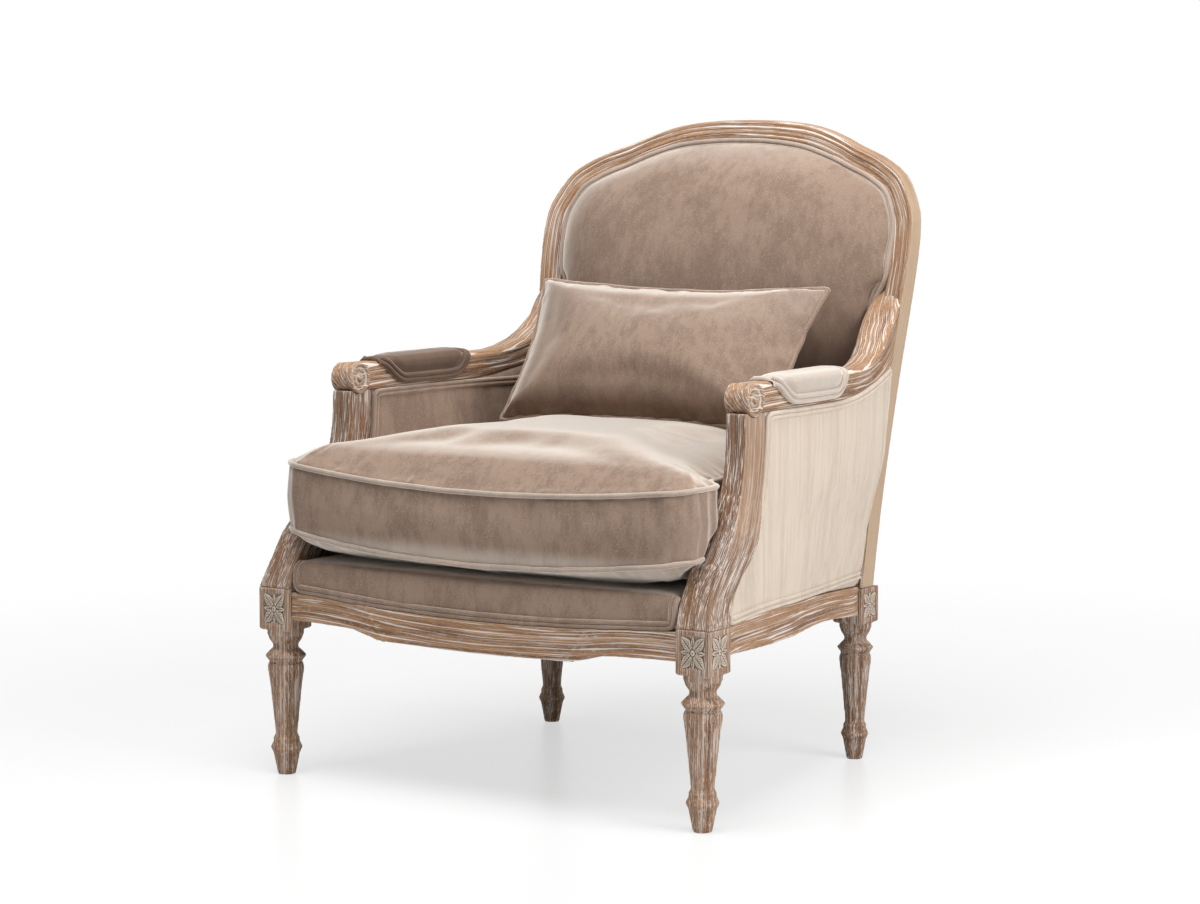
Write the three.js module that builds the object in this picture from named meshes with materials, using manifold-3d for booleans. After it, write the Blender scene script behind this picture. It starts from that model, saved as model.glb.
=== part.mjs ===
// An upholstered armchair with a carved show-wood frame: turned and fluted legs, swept arm
// posts with scrolled arms, a hump-backed crest, a boxed seat cushion and a lumbar pillow.
// Millimetres. X is the sitter's left and right, Y runs back from the front leg axis, Z is up
// from the floor. The finished chair is moved so that the origin is at the middle of its plan.
import * as THREE from "three";
import { mergeVertices } from "three/addons/utils/BufferGeometryUtils.js";
import Module from "manifold-3d";

const wasm = await Module();
wasm.setup();

// Clearance between neighbouring pieces, and how far a cutting body runs past what it cuts
const clearance = 0.3;
const overrun = 30;

// Legs: where their axes stand and how they are turned
const frontLegSpacing = 714;
const rearLegSpacing = 548;
const legDepthSpacing = 559;
const frontBlock = { side: 54, bottom: 213, top: 275, ringRadius: 30 };
const rearBlock = { side: 50, bottom: 205, top: 259, ringRadius: 27 };
const legBlockChamfer = 2.5;
const fluteCount = 12;
const fluteDepth = 2.2;
const blockPanel = { border: 7.5, lowBorder: 6.5, recess: 2 };

// Height as a share of the turned length, radius as a share of the ring radius, flute share
const legTurningShares = [
  [0, 0.42, 0], [0.02, 0.46, 0], [0.143, 0.635, 0], [0.184, 0.77, 0], [0.215, 0.66, 0],
  [0.228, 0.62, 0], [0.246, 0.64, 0], [0.262, 0.57, 0], [0.275, 0.53, 0], [0.292, 0.545, 0.6],
  [0.33, 0.575, 1], [0.62, 0.79, 1], [0.705, 0.88, 1], [0.732, 0.89, 0.7], [0.755, 0.85, 0.1],
  [0.768, 0.77, 0], [0.778, 0.83, 0], [0.809, 1, 0], [0.842, 0.78, 0], [0.86, 0.62, 0],
  [0.886, 0.61, 0], [0.904, 0.7, 0], [0.925, 0.8, 0], [0.948, 0.85, 0], [0.957, 0.89, 0],
  [1, 0.87, 0],
];

// Seat rails
const railThickness = 26;
const railReedDepth = 2;
const railReeds = 4;
const frontRail = { setBack: 6, bow: 11, top: 270, topDip: 12, bottom: 230, bottomDrop: 17 };
const sideRail = { setIn: 6, rearSetIn: 6, top: 274, topFall: 12, bottom: 236, bottomFall: 17 };
const backRail = { height: 52, bow: 28, setIn: 8 };
// How the lower and upper edges run: along the rail, then the share of the drop or fall
const frontBottomShares = [[0, 1], [0.35, 0.88], [0.53, 0.75], [0.62, 0.2], [0.8, 0.02], [1, 0]];
const frontTopShares = [[0, 1], [0.4, 0.82], [0.7, 0.4], [0.97, 0], [1, 0]];
const sideBottomShares = [[0, 0], [0.3, 0.45], [0.5, 0.55], [0.7, 0.3], [1, 1]];
const sideTopShares = [[0, 0], [0.25, -0.2], [0.5, 0], [0.75, 0.35], [1, 1]];

// Arm posts: an S curve from the front block up to the arm
const armPost = { top: 552, topFront: 110, topDepth: 52, topWidth: 31, topX: 338.5 };
// Height share, then how much of the forward sweep is left
const postFrontShares = [
  [0, 1], [0.035, 0.985], [0.195, 0.8], [0.327, 0.59], [0.46, 0.32], [0.6, 0.13], [0.74, 0.035],
  [0.88, 0], [1, 0],
];
const postRearShares = [
  [0, 1], [0.05, 0.96], [0.125, 0.87], [0.235, 0.65], [0.36, 0.34], [0.53, 0.14], [0.72, 0.035],
  [0.9, 0], [1, 0],
];
const postWidthShares = [[0, 0], [0.13, 0.25], [0.33, 0.36], [0.6, 0.84], [1, 1]];
const postReeds = 4;
const postReedDepth = 2;

// Arms
const armBottom = 552;
const armHeight = 40;
const scroll = { radius: 22.6, y: 133, width: 38, eye: 7, eyeProud: 1.5, faceRecess: 2, rim: 3.4 };
const scrollGrooves = 3;
const scrollSides = 18;
const armFrontInnerX = 321;
const armFrontOuterX = 356;
const armRearInnerX = 268;
const armRearOuterX = 323;
const armMeetBottom = 590;
const armMeetTop = 702;
// Along the arm, then the share of the rise
const armTopShares = [
  [0, 0], [0.38, 0], [0.63, 0.005], [0.72, 0.03], [0.82, 0.155], [0.905, 0.39], [0.97, 0.7], [1, 1],
];
const armBottomShares = [[0, 0], [0.4, 0], [0.62, 0.05], [0.82, 0.42], [1, 1]];
const armInnerShares = [[0, 0], [0.38, 0.04], [0.6, 0.17], [0.8, 0.5], [1, 1]];
const armOuterShares = [[0, 0], [0.4, 0.06], [0.6, 0.25], [0.8, 0.55], [1, 1]];
const armReeds = 3;
const armReedDepth = 1.8;

// Back frame: outline in front view, as shares of half the width and of the height over its base
const backTop = 946;
const backHalfWidth = 329;
const backOutlineShares = [
  [0.903, 0], [0.918, 0.151], [0.945, 0.346], [0.967, 0.492], [0.988, 0.614], [1, 0.71],
  [0.994, 0.785], [0.957, 0.833], [0.886, 0.882], [0.76, 0.918], [0.626, 0.942], [0.514, 0.964],
  [0.362, 0.986], [0.18, 0.997], [0, 1],
];
const crestJoint = 6;
const stileFaceWidth = 35;
const crestFaceWidth = 28;
const stileDepth = 40;
const crestDepth = 30;
const backReeds = 4;
const backReedDepth = 2;
const backEdgeRoundShare = 0.14;
const backBaseInset = 28;
const backBaseY = legDepthSpacing - backBaseInset;
const backRakeShare = 0.11;
const backSweepRadius = 3850;
const backBarrel = 35;
const stayRail = { bottom: 330, top: 372, thickness: 18 };

// Upholstery
const insideBack = { bottom: 323, seat: 8, crown: 78 };
// How covers are domed: the share of the outline, then the share of the depth under or crown over
const insideBackShares = [
  [0.35, -1], [0.7, -1], [1, -1], [1, 0], [0.975, 0.13], [0.92, 0.34], [0.82, 0.6],
  [0.62, 0.88], [0.3, 1],
];
const outsideBackShares = [[0.35, -1], [0.7, -1], [1, -1], [1, 0], [0.92, 1], [0.65, 1], [0.3, 1]];
const sidePanelShares = [[0.2, -1], [0.6, -1], [1, -1], [1, 0], [0.93, 0.7], [0.6, 1], [0.2, 1]];
const outsideBack = { bottom: 262, thickness: 5, setIn: 3, crown: 3 };
const outsideArm = { thickness: 6, setIn: 3, crown: 4 };
const insideArm = { thickness: 14, crown: 7, setIn: 3, bottom: 324 };
const sideWallWidth = 42;
const softGap = 1;
const manchette = { start: 176, end: 396, height: 7, overhang: 2, drop: 36, wall: 3, noseDrop: 7 };
const deck = { top: 318, frontInset: 4, edge: 10, rearInset: 35, rearHalfWidth: 262 };
const deckRear = legDepthSpacing - deck.rearInset;
const cushion = {
  front: -26, rearInset: 63, halfFront: 351, sideGap: 4, neckY: 74, corner: 34,
  weltTop: 460, weltBottom: 362, dip: 22, bottomDip: 28, bulge: 9, crown: 505, bow: 12,
  postGap: 1.5,
};
const cushionRear = legDepthSpacing - cushion.rearInset;
const pillow = {
  halfWidth: 258, halfLow: 246, topY: 514, bottomY: 372, sink: 15, height: 215,
  thickness: 118, draw: 14,
};
const pillowLow = cushion.crown - pillow.sink;
const pillowHigh = pillowLow + pillow.height;
const cornerBlock = { leg: 62, bottom: 238 };
const dustCover = { thickness: 1.5 };

// Finishes
const oak = new THREE.MeshStandardMaterial({ color: 0x9a7a5c, roughness: 0.72, metalness: 0 });
const velvet = new THREE.MeshStandardMaterial({ color: 0x9c8574, roughness: 0.85, metalness: 0 });
const linen = new THREE.MeshStandardMaterial({ color: 0xd2c4b4, roughness: 0.9, metalness: 0 });
const beech = new THREE.MeshStandardMaterial({ color: 0xc9ab84, roughness: 0.75, metalness: 0 });
const cambric = new THREE.MeshStandardMaterial({ color: 0x2b2927, roughness: 0.95, metalness: 0 });

const chair = new THREE.Group();
const half = (size) => size / 2;
const lerp = THREE.MathUtils.lerp;

// The value of a table of [place share, value share] at a place, smooth through its points
function follow(table, at) {
  const last = table.length - 1;
  let i = 0;
  while (i < last - 1 && at > table[i + 1][0]) i++;
  const slope = (j) => {
    const a = table[Math.max(j - 1, 0)];
    const b = table[Math.min(j + 1, last)];
    return (b[1] - a[1]) / (b[0] - a[0]);
  };
  const [x0, y0] = table[i];
  const [x1, y1] = table[i + 1];
  const span = x1 - x0;
  const t = THREE.MathUtils.clamp((at - x0) / span, 0, 1);
  const rise = t * t * (3 - 2 * t);
  const lead = t * (1 - t) * (1 - t) * slope(i);
  const trail = t * t * (t - 1) * slope(i + 1);
  return y0 + (y1 - y0) * rise + span * (lead + trail);
}

// Turns a geometry's faces outwards, whichever way its rings ran
function facedOut(geometry) {
  const p = geometry.attributes.position;
  const index = geometry.index.array;
  const a = new THREE.Vector3();
  const b = new THREE.Vector3();
  const c = new THREE.Vector3();
  let volume = 0;
  for (let i = 0; i < index.length; i += 3) {
    a.fromBufferAttribute(p, index[i]);
    b.fromBufferAttribute(p, index[i + 1]);
    c.fromBufferAttribute(p, index[i + 2]);
    volume += a.dot(b.cross(c));
  }
  if (volume < 0) index.reverse();
  return geometry;
}

// A closed solid through rings of equally many points, its ends closed by flat or fanned caps
function loft(rings) {
  const count = rings[0].length;
  const points = rings.flat();
  const faces = [];
  for (let r = 0; r + 1 < rings.length; r++)
    for (let i = 0; i < count; i++) {
      const a = r * count + i;
      const b = r * count + ((i + 1) % count);
      faces.push(a, b, b + count, a, b + count, a + count);
    }
  const cap = (start, turned) => {
    const ring = points.slice(start, start + count);
    const normal = new THREE.Vector3();
    ring.forEach((p, i) => normal.add(p.clone().cross(ring[(i + 1) % count])));
    normal.normalize();
    const u = new THREE.Vector3(normal.y, normal.z, normal.x).cross(normal).normalize();
    const v = normal.clone().cross(u);
    const flat = ring.map((p) => new THREE.Vector2(p.dot(u), p.dot(v)));
    for (const [a, b, c] of THREE.ShapeUtils.triangulateShape(flat, []))
      faces.push(start + a, start + (turned ? c : b), start + (turned ? b : c));
  };
  cap(0, true);
  cap(points.length - count, false);
  const geometry = new THREE.BufferGeometry().setFromPoints(points);
  geometry.setIndex(faces);
  return facedOut(geometry);
}

// A closed solid whose rings are one outline drawn in by a share; place() bends it into space
function domed(outline, layers, place) {
  const middle = new THREE.Vector2();
  outline.forEach((p) => middle.add(p));
  middle.divideScalar(outline.length);
  const ring = ([share, height]) =>
    outline.map((p) => {
      const q = p.clone().sub(middle).multiplyScalar(share).add(middle);
      return place(q.x, q.y, height);
    });
  return loft(layers.map(ring));
}

// The layers of a domed cover, from its shares and its depth under and crown over its outline
function layersOf(shares, under, over) {
  return shares.map(([share, level]) => [share, level * (level < 0 ? under : over)]);
}

function solid(geometry) {
  const bare = new THREE.BufferGeometry();
  const plain = geometry.index ? geometry.toNonIndexed() : geometry;
  bare.setAttribute("position", plain.getAttribute("position"));
  const merged = mergeVertices(bare, 1e-3);
  const mesh = new wasm.Mesh({
    numProp: 3,
    vertProperties: merged.attributes.position.array,
    triVerts: new Uint32Array(merged.index.array),
  });
  return new wasm.Manifold(mesh);
}

function geometryOf(body) {
  const { vertProperties, triVerts } = body.getMesh();
  const geometry = new THREE.BufferGeometry();
  geometry.setAttribute("position", new THREE.BufferAttribute(vertProperties, 3));
  geometry.setIndex(new THREE.BufferAttribute(triVerts, 1));
  return geometry;
}

function piece(name, geometry, material) {
  geometry.computeVertexNormals();
  const mesh = new THREE.Mesh(geometry, material.clone());
  mesh.name = name;
  chair.add(mesh);
}

// A right-hand piece and its mirror image on the left
function pair(name, geometry, material) {
  piece(name + "_right", geometry, material);
  const mirrored = geometry.clone().scale(-1, 1, 1);
  piece(name + "_left", facedOut(mirrored), material);
}

function box(low, high) {
  const size = high.clone().sub(low);
  const middle = low.clone().add(high).multiplyScalar(0.5);
  return new THREE.BoxGeometry(size.x, size.y, size.z).translate(middle.x, middle.y, middle.z);
}

// Points across a reeded face: each reed is a crest between two grooves, as [across, in] shares
function reedShares(count) {
  const points = [[0, 0]];
  for (let i = 0; i < count; i++) {
    points.push([(i + 0.5) / count, 0]);
    if (i + 1 < count) points.push([(i + 1) / count, 1]);
  }
  points.push([1, 0]);
  return points;
}

// Surfaces that several pieces share

// The front face of the back frame: raked, swept and a little barrelled across
function backFaceY(x, z) {
  const up = z - frontBlock.top;
  const across = x / backHalfWidth;
  const rake = backRakeShare * up + (up * up) / (2 * backSweepRadius);
  return backBaseY + rake + backBarrel * (1 - across * across);
}

// The outline of the back in front view, and the inner edge of its face
const backOutline = new THREE.SplineCurve(
  backOutlineShares.map(
    ([across, up]) =>
      new THREE.Vector2(across * backHalfWidth, lerp(rearBlock.top, backTop, up)),
  ),
);
const backSteps = backOutlineShares.length - 1;

function backEdge(at) {
  const outer = backOutline.getPoint(at / backSteps);
  const along = backOutline.getTangent(at / backSteps);
  const toCrest = THREE.MathUtils.smoothstep(at, crestJoint - 1, backSteps);
  const width = lerp(stileFaceWidth, crestFaceWidth, toCrest);
  const inner = new THREE.Vector2(-along.y, along.x).multiplyScalar(width).add(outer);
  if (at === 0) inner.y = outer.y;
  if (at === backSteps) inner.x = 0;
  return { outer, inner, along };
}

// The half width of the back frame, outside or inside, at a height below the crest joint
function stileX(z, edge) {
  let low = 0;
  let high = crestJoint;
  for (let i = 0; i < 24; i++) {
    const middle = (low + high) / 2;
    if (backEdge(middle)[edge].y < z) low = middle;
    else high = middle;
  }
  return backEdge(low)[edge].x;
}

const stileDepthAt = (z) =>
  lerp(stileDepth, crestDepth, THREE.MathUtils.smoothstep(z, armMeetBottom, backTop));

// The arm post's edges at a height, right side
const frontBlockOuter = half(frontLegSpacing) + half(frontBlock.side);
const frontBlockInner = half(frontLegSpacing) - half(frontBlock.side);
const rearBlockOuter = half(rearLegSpacing) + half(rearBlock.side);
const rearBlockInner = half(rearLegSpacing) - half(rearBlock.side);

function armPostAt(z) {
  const up = (z - frontBlock.top) / (armPost.top - frontBlock.top);
  const topRear = armPost.topFront + armPost.topDepth;
  const narrowing = follow(postWidthShares, up);
  return {
    front: lerp(armPost.topFront, -half(frontBlock.side), follow(postFrontShares, up)),
    rear: lerp(topRear, half(frontBlock.side), follow(postRearShares, up)),
    inner: lerp(frontBlockInner, armPost.topX - half(armPost.topWidth), narrowing),
    outer: lerp(frontBlockOuter, armPost.topX + half(armPost.topWidth), narrowing),
  };
}

// Legs: a square block with sunk panels over a turned and fluted shaft
function turnedShaft(block) {
  const height = block.bottom + legBlockChamfer;
  const steps = fluteCount * 2;
  const rings = legTurningShares.map(([up, radiusShare, flute]) => {
    const ring = [];
    for (let i = 0; i < steps; i++) {
      const sunk = i % 2 ? fluteDepth * flute : 0;
      const angle = (i / steps) * 2 * Math.PI;
      const radius = radiusShare * block.ringRadius - sunk;
      ring.push(new THREE.Vector3(radius * Math.cos(angle), radius * Math.sin(angle), up * height));
    }
    return ring;
  });
  return solid(loft(rings));
}

function legBlock(block) {
  const ring = (side, z) =>
    [[1, 1], [-1, 1], [-1, -1], [1, -1]].map(
      ([x, y]) => new THREE.Vector3(x * half(side), y * half(side), z),
    );
  const narrow = block.side - 2 * legBlockChamfer;
  const chamferTop = block.bottom + legBlockChamfer;
  return solid(
    loft([ring(narrow, block.bottom), ring(block.side, chamferTop), ring(block.side, block.top)]),
  );
}

// The sunk square that holds the carved flower, on the face that looks along x or y
function sunkPanel(block, x, y) {
  const reach = half(block.side);
  const width = reach - blockPanel.border;
  const low = block.bottom + legBlockChamfer + blockPanel.lowBorder;
  const high = block.top - blockPanel.border;
  const from = reach - blockPanel.recess;
  const to = reach + overrun;
  const panel = box(new THREE.Vector3(-width, from, low), new THREE.Vector3(width, to, high));
  return solid(panel.rotateZ(Math.atan2(y, x) - Math.PI / 2));
}

function leg(block, panels) {
  let body = turnedShaft(block).add(legBlock(block));
  for (const [x, y] of panels) body = body.subtract(sunkPanel(block, x, y));
  return geometryOf(body);
}

function buildLegs() {
  const front = leg(frontBlock, [[0, -1], [1, 0]]);
  pair("front_leg", front.translate(half(frontLegSpacing), 0, 0), oak);
  const rear = leg(rearBlock, [[0, 1], [1, 0]]);
  pair("rear_leg", rear.translate(half(rearLegSpacing), legDepthSpacing, 0), oak);
}

// Seat rails: reeded along their outer face, with shaped upper and lower edges

// One section of a reeded rail; outward() places [up share, depth in] for that station
function railSection(place) {
  const face = reedShares(railReeds).map(([up, groove]) => place(up, groove * railReedDepth));
  return [...face, place(1, railThickness), place(0, railThickness)];
}

const frontRailSteps = 28;
const frontRailEnd = frontBlockInner - clearance;
const frontRailY = (x) => {
  const across = x / frontBlockInner;
  return -half(frontBlock.side) + frontRail.setBack - frontRail.bow * (1 - across * across);
};
const frontRailTop = (x) =>
  frontRail.top - frontRail.topDip * follow(frontTopShares, Math.abs(x) / frontBlockInner);
const frontRailBottom = (x) =>
  frontRail.bottom - frontRail.bottomDrop * follow(frontBottomShares, Math.abs(x) / frontBlockInner);

function buildFrontRail() {
  const rings = [];
  for (let i = 0; i <= frontRailSteps; i++) {
    const x = lerp(-frontRailEnd, frontRailEnd, i / frontRailSteps);
    const low = frontRailBottom(x);
    const high = frontRailTop(x);
    rings.push(
      railSection((up, depth) => new THREE.Vector3(x, frontRailY(x) + depth, lerp(low, high, up))),
    );
  }
  piece("front_rail", loft(rings), oak);
}

const sideRailStart = half(frontBlock.side) + clearance;
const sideRailEnd = legDepthSpacing - half(rearBlock.side) - clearance;
const alongSide = (y) => (y - sideRailStart) / (sideRailEnd - sideRailStart);
const sideRailX = (y) =>
  lerp(frontBlockOuter - sideRail.setIn, rearBlockOuter - sideRail.rearSetIn, alongSide(y));
const sideRailTop = (y) => sideRail.top - sideRail.topFall * follow(sideTopShares, alongSide(y));
const sideRailBottom = (y) =>
  sideRail.bottom - sideRail.bottomFall * follow(sideBottomShares, alongSide(y));

function buildSideRails() {
  const steps = 10;
  const rings = [];
  for (let i = 0; i <= steps; i++) {
    const y = lerp(sideRailStart, sideRailEnd, i / steps);
    const low = sideRailBottom(y);
    const high = sideRailTop(y);
    rings.push(
      railSection((up, depth) => new THREE.Vector3(sideRailX(y) - depth, y, lerp(low, high, up))),
    );
  }
  pair("side_rail", loft(rings), oak);
}

const backRailY = (x) => {
  const across = x / rearBlockInner;
  return (
    legDepthSpacing + half(rearBlock.side) - backRail.setIn + backRail.bow * (1 - across * across)
  );
};

function buildBackRail() {
  const end = rearBlockInner - clearance;
  const steps = 10;
  const rings = [];
  for (let i = 0; i <= steps; i++) {
    const x = lerp(-end, end, i / steps);
    const corner = (depth, z) => new THREE.Vector3(x, backRailY(x) - depth, z);
    const low = rearBlock.top - backRail.height;
    rings.push([
      corner(0, low), corner(railThickness, low),
      corner(railThickness, rearBlock.top), corner(0, rearBlock.top),
    ]);
  }
  piece("back_rail", loft(rings), oak);
}

// Triangular blocks glued into the four corners of the seat frame
function buildCornerBlocks() {
  const high = frontRail.top - frontRail.topDip - clearance;
  const prism = (corner, alongX, alongY) => {
    const outline = [corner, corner.clone().add(alongX), corner.clone().add(alongY)];
    const ring = (z) => outline.map((p) => new THREE.Vector3(p.x, p.y, z));
    return loft([ring(cornerBlock.bottom), ring(high)]);
  };
  const insideX = (y) => sideRailX(y) - railThickness - clearance;
  const blockFace = half(frontBlock.side) + clearance;
  const frontX = insideX(blockFace + cornerBlock.leg);
  const front = new THREE.Vector2(frontX, blockFace);
  const toX = new THREE.Vector2(-cornerBlock.leg, 0);
  const toY = new THREE.Vector2(0, cornerBlock.leg);
  pair("front_corner_block", prism(front, toX, toY), beech);
  const rearY = legDepthSpacing - half(rearBlock.side) - clearance;
  const rear = new THREE.Vector2(insideX(rearY), rearY);
  pair("rear_corner_block", prism(rear, toX, toY.clone().negate()), beech);
}

// Arm posts
function armPostSection(z, grown, reach) {
  const edge = armPostAt(z);
  const inner = Math.min(edge.inner, reach.inner) - grown;
  const at = (across, y) => new THREE.Vector3(lerp(inner, edge.outer + grown, across), y, z);
  const face = reedShares(postReeds).map(([across, groove]) =>
    at(across, edge.front - grown + (grown ? 0 : groove * postReedDepth)),
  );
  const rear = Math.max(edge.rear, reach.rear) + grown;
  return [...face, at(1, rear), at(0, rear)];
}

// The whole post, or a plain one grown by a gap, which may reach further in and back
const ownReach = { inner: Infinity, rear: -Infinity };
function armPostSolid(grown, reach = ownReach) {
  const low = frontBlock.top + clearance;
  const high = armPost.top - clearance;
  const steps = 13;
  const rings = [];
  for (let i = 0; i <= steps; i++)
    rings.push(armPostSection(lerp(low, high, i / steps), grown, reach));
  return solid(loft(rings));
}

// The scroll: a short turned drum with a sunk face and a proud eye at each end
function scrollGeometry(grown) {
  const end = half(scroll.width);
  const sunk = end - scroll.faceRecess;
  const rim = scroll.radius - scroll.rim;
  const side = [
    [0, end + scroll.eyeProud], [scroll.eye * 0.6, end + scroll.eyeProud * 0.6],
    [scroll.eye, sunk], [rim, sunk], [rim + scroll.rim * 0.3, end], [scroll.radius, end],
  ];
  const plain = [[0, end], [scroll.radius, end]];
  const upper = (grown ? plain : side).map(([r, h]) => [r ? r + grown : 0, h + grown]);
  const grooves = [];
  for (let i = 1; i <= scrollGrooves * 2 - 1; i++) {
    const at = lerp(end, -end, i / (scrollGrooves * 2));
    if (!grown) grooves.push([scroll.radius - (i % 2 ? 0 : postReedDepth), at]);
  }
  const lower = upper.map(([r, h]) => [r, -h]);
  const profile = [...lower, ...grooves.reverse(), ...upper.reverse()];
  const points = profile.map(([r, h]) => new THREE.Vector2(r, h));
  const drum = new THREE.LatheGeometry(points, scrollSides).rotateZ(-Math.PI / 2);
  return drum.translate(armPost.topX, scroll.y, armBottom + armHeight - scroll.radius);
}

function buildArmPosts() {
  const post = armPostSolid(0);
  pair("arm_post", geometryOf(post.subtract(solid(scrollGeometry(clearance)))), oak);
}

// Arms: lofted by slanting slices from the scroll back to the stile, where they sweep upwards
const stileFrontY = (z) => backFaceY(armRearOuterX, z) - clearance;
const armRearBottomY = stileFrontY(armMeetBottom);
const armRearTopY = stileFrontY(armMeetTop);
const alongArm = (y) => THREE.MathUtils.clamp((y - scroll.y) / (armRearBottomY - scroll.y), 0, 1);
const armInnerX = (y) => lerp(armFrontInnerX, armRearInnerX, follow(armInnerShares, alongArm(y)));
const armOuterX = (y) => lerp(armFrontOuterX, armRearOuterX, follow(armOuterShares, alongArm(y)));
const armBottomZ = (y) => lerp(armBottom, armMeetBottom, follow(armBottomShares, alongArm(y)));
const armTop = armBottom + armHeight;

function armTopZ(y) {
  const along = (y - scroll.y) / (armRearTopY - scroll.y);
  return lerp(armTop, armMeetTop, follow(armTopShares, along));
}

function armSection(along, atStile) {
  const bottomY = lerp(scroll.y, armRearBottomY, along);
  const topY = lerp(scroll.y, armRearTopY, along);
  const bottomZ = armBottomZ(bottomY);
  const topZ = armTopZ(topY);
  const at = (across, up, sunk) => {
    const y = lerp(bottomY, topY, up);
    const x = lerp(armInnerX(y) + sunk, armOuterX(y) - sunk, across);
    const z = lerp(bottomZ, topZ, up);
    return new THREE.Vector3(x, atStile ? backFaceY(x, z) - clearance : y, z);
  };
  const side = reedShares(armReeds);
  const shoulder = 0.86;
  const inner = side.map(([up, groove]) => at(0, up * shoulder, groove * armReedDepth));
  const outer = side.map(([up, groove]) => at(1, up * shoulder, groove * armReedDepth));
  return [...inner, at(1 - shoulder, 1, 0), at(shoulder, 1, 0), ...outer.reverse()];
}

function armSolid() {
  const steps = 16;
  const rings = [];
  for (let i = 0; i <= steps; i++) rings.push(armSection(i / steps, i === steps));
  return solid(loft(rings)).add(solid(scrollGeometry(0)));
}

function buildArms() {
  pair("arm", geometryOf(armSolid()), oak);
}

// Back frame: one reeded section carried round the outline, parted at the crest joints
function backSection(at, shift) {
  const { outer, inner, along } = backEdge(at);
  const move = along.clone().multiplyScalar(shift * half(clearance));
  const depth = stileDepthAt(outer.y);
  const place = (across, back) => {
    const p = outer.clone().lerp(inner, across).add(move);
    return new THREE.Vector3(p.x, backFaceY(p.x, p.y) + back, p.y);
  };
  const face = reedShares(backReeds).map(([across, groove]) => {
    const edge = across === 0 || across === 1;
    return place(across, edge ? backReedDepth : groove * backReedDepth);
  });
  return [
    ...face, place(1, depth * (1 - backEdgeRoundShare)), place(1 - backEdgeRoundShare, depth),
    place(backEdgeRoundShare, depth), place(0, depth * (1 - backEdgeRoundShare)),
  ];
}

function buildBackFrame() {
  const stileStepsEach = 2;
  const crestStepsEach = 2.5;
  const stile = [];
  for (let i = 0; i <= crestJoint * stileStepsEach; i++) {
    const ring = backSection(i / stileStepsEach, i === crestJoint * stileStepsEach ? -1 : 0);
    if (i === 0) ring.forEach((p) => (p.z += clearance));
    stile.push(ring);
  }
  pair("back_post", loft(stile), oak);

  const right = [];
  const crestSteps = (backSteps - crestJoint) * crestStepsEach;
  for (let i = 0; i <= crestSteps; i++)
    right.push(backSection(crestJoint + i / crestStepsEach, i === 0 ? 1 : 0));
  const left = right
    .slice(0, -1)
    .reverse()
    .map((ring) => ring.map((p) => new THREE.Vector3(-p.x, p.y, p.z)));
  piece("crest_rail", loft([...right, ...left]), oak);
}

function buildStayRail() {
  const steps = 10;
  const near = insideBack.seat + softGap;
  const rings = [];
  for (let i = 0; i <= steps; i++) {
    const corner = (z, back) => {
      const reach = stileX(z, "inner") - clearance;
      const x = lerp(-reach, reach, i / steps);
      return new THREE.Vector3(x, backFaceY(x, z) + back, z);
    };
    const far = near + stayRail.thickness;
    rings.push([
      corner(stayRail.bottom, near), corner(stayRail.bottom, far),
      corner(stayRail.top, far), corner(stayRail.top, near),
    ]);
  }
  piece("stay_rail", loft(rings), beech);
}

// The opening of the back frame in front view, from a height up over the crest and down again
function backOpening(bottom, sideX) {
  const side = [];
  const sideSteps = 5;
  const joinZ = armMeetTop;
  for (let i = 0; i <= sideSteps; i++) {
    const z = lerp(bottom, joinZ, i / sideSteps);
    side.push(new THREE.Vector2(sideX(z), z));
  }
  const topSteps = 14;
  for (let i = 0; i <= topSteps; i++) {
    const { outer, inner } = backEdge(lerp(crestJoint - 1, backSteps, i / topSteps));
    const inward = inner.clone().sub(outer).normalize().multiplyScalar(clearance);
    side.push(inner.clone().add(inward));
  }
  const mirrored = side
    .slice(0, -1)
    .reverse()
    .map((p) => new THREE.Vector2(-p.x, p.y));
  const base = [];
  const baseSteps = 6;
  const reach = sideX(bottom);
  for (let i = 1; i < baseSteps; i++)
    base.push(new THREE.Vector2(lerp(-reach, reach, i / baseSteps), bottom));
  return [...side, ...mirrored, ...base];
}

// The inside back fits between the side pads, and above them opens out to the stiles, round the arms
function buildBackUpholstery() {
  const sideInside = (z) => {
    const betweenPads = sideInnerX(armRearBottomY, z) + insideArm.setIn - insideArm.crown - softGap;
    const opened = THREE.MathUtils.smoothstep(z, armMeetBottom, armMeetTop);
    return lerp(betweenPads, stileX(z, "inner") - clearance, opened);
  };
  const inside = domed(
    backOpening(insideBack.bottom, sideInside),
    layersOf(insideBackShares, insideBack.seat, insideBack.crown),
    (x, z, h) => new THREE.Vector3(x, backFaceY(x, z) - h, z),
  );
  const armEnd = box(
    new THREE.Vector3(armRearInnerX - softGap, armRearBottomY - softGap, armMeetBottom - overrun),
    new THREE.Vector3(armRearOuterX, armRearTopY + overrun, armMeetTop + softGap),
  );
  const arm = armSolid().translate([-softGap, -softGap, softGap]).add(solid(armEnd));
  const fitted = solid(inside).subtract(arm).subtract(arm.mirror([1, 0, 0]));
  piece("inside_back_pad", geometryOf(fitted), velvet);

  const outside = domed(
    backOpening(outsideBack.bottom, (z) => stileX(z, "inner") - clearance),
    layersOf(outsideBackShares, outsideBack.thickness, outsideBack.crown),
    (x, z, h) => {
      const back = stileDepthAt(z) - outsideBack.setIn - outsideBack.crown;
      return new THREE.Vector3(x, backFaceY(x, z) + back + h, z);
    },
  );
  piece("outside_back_panel", outside, linen);
}

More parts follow.
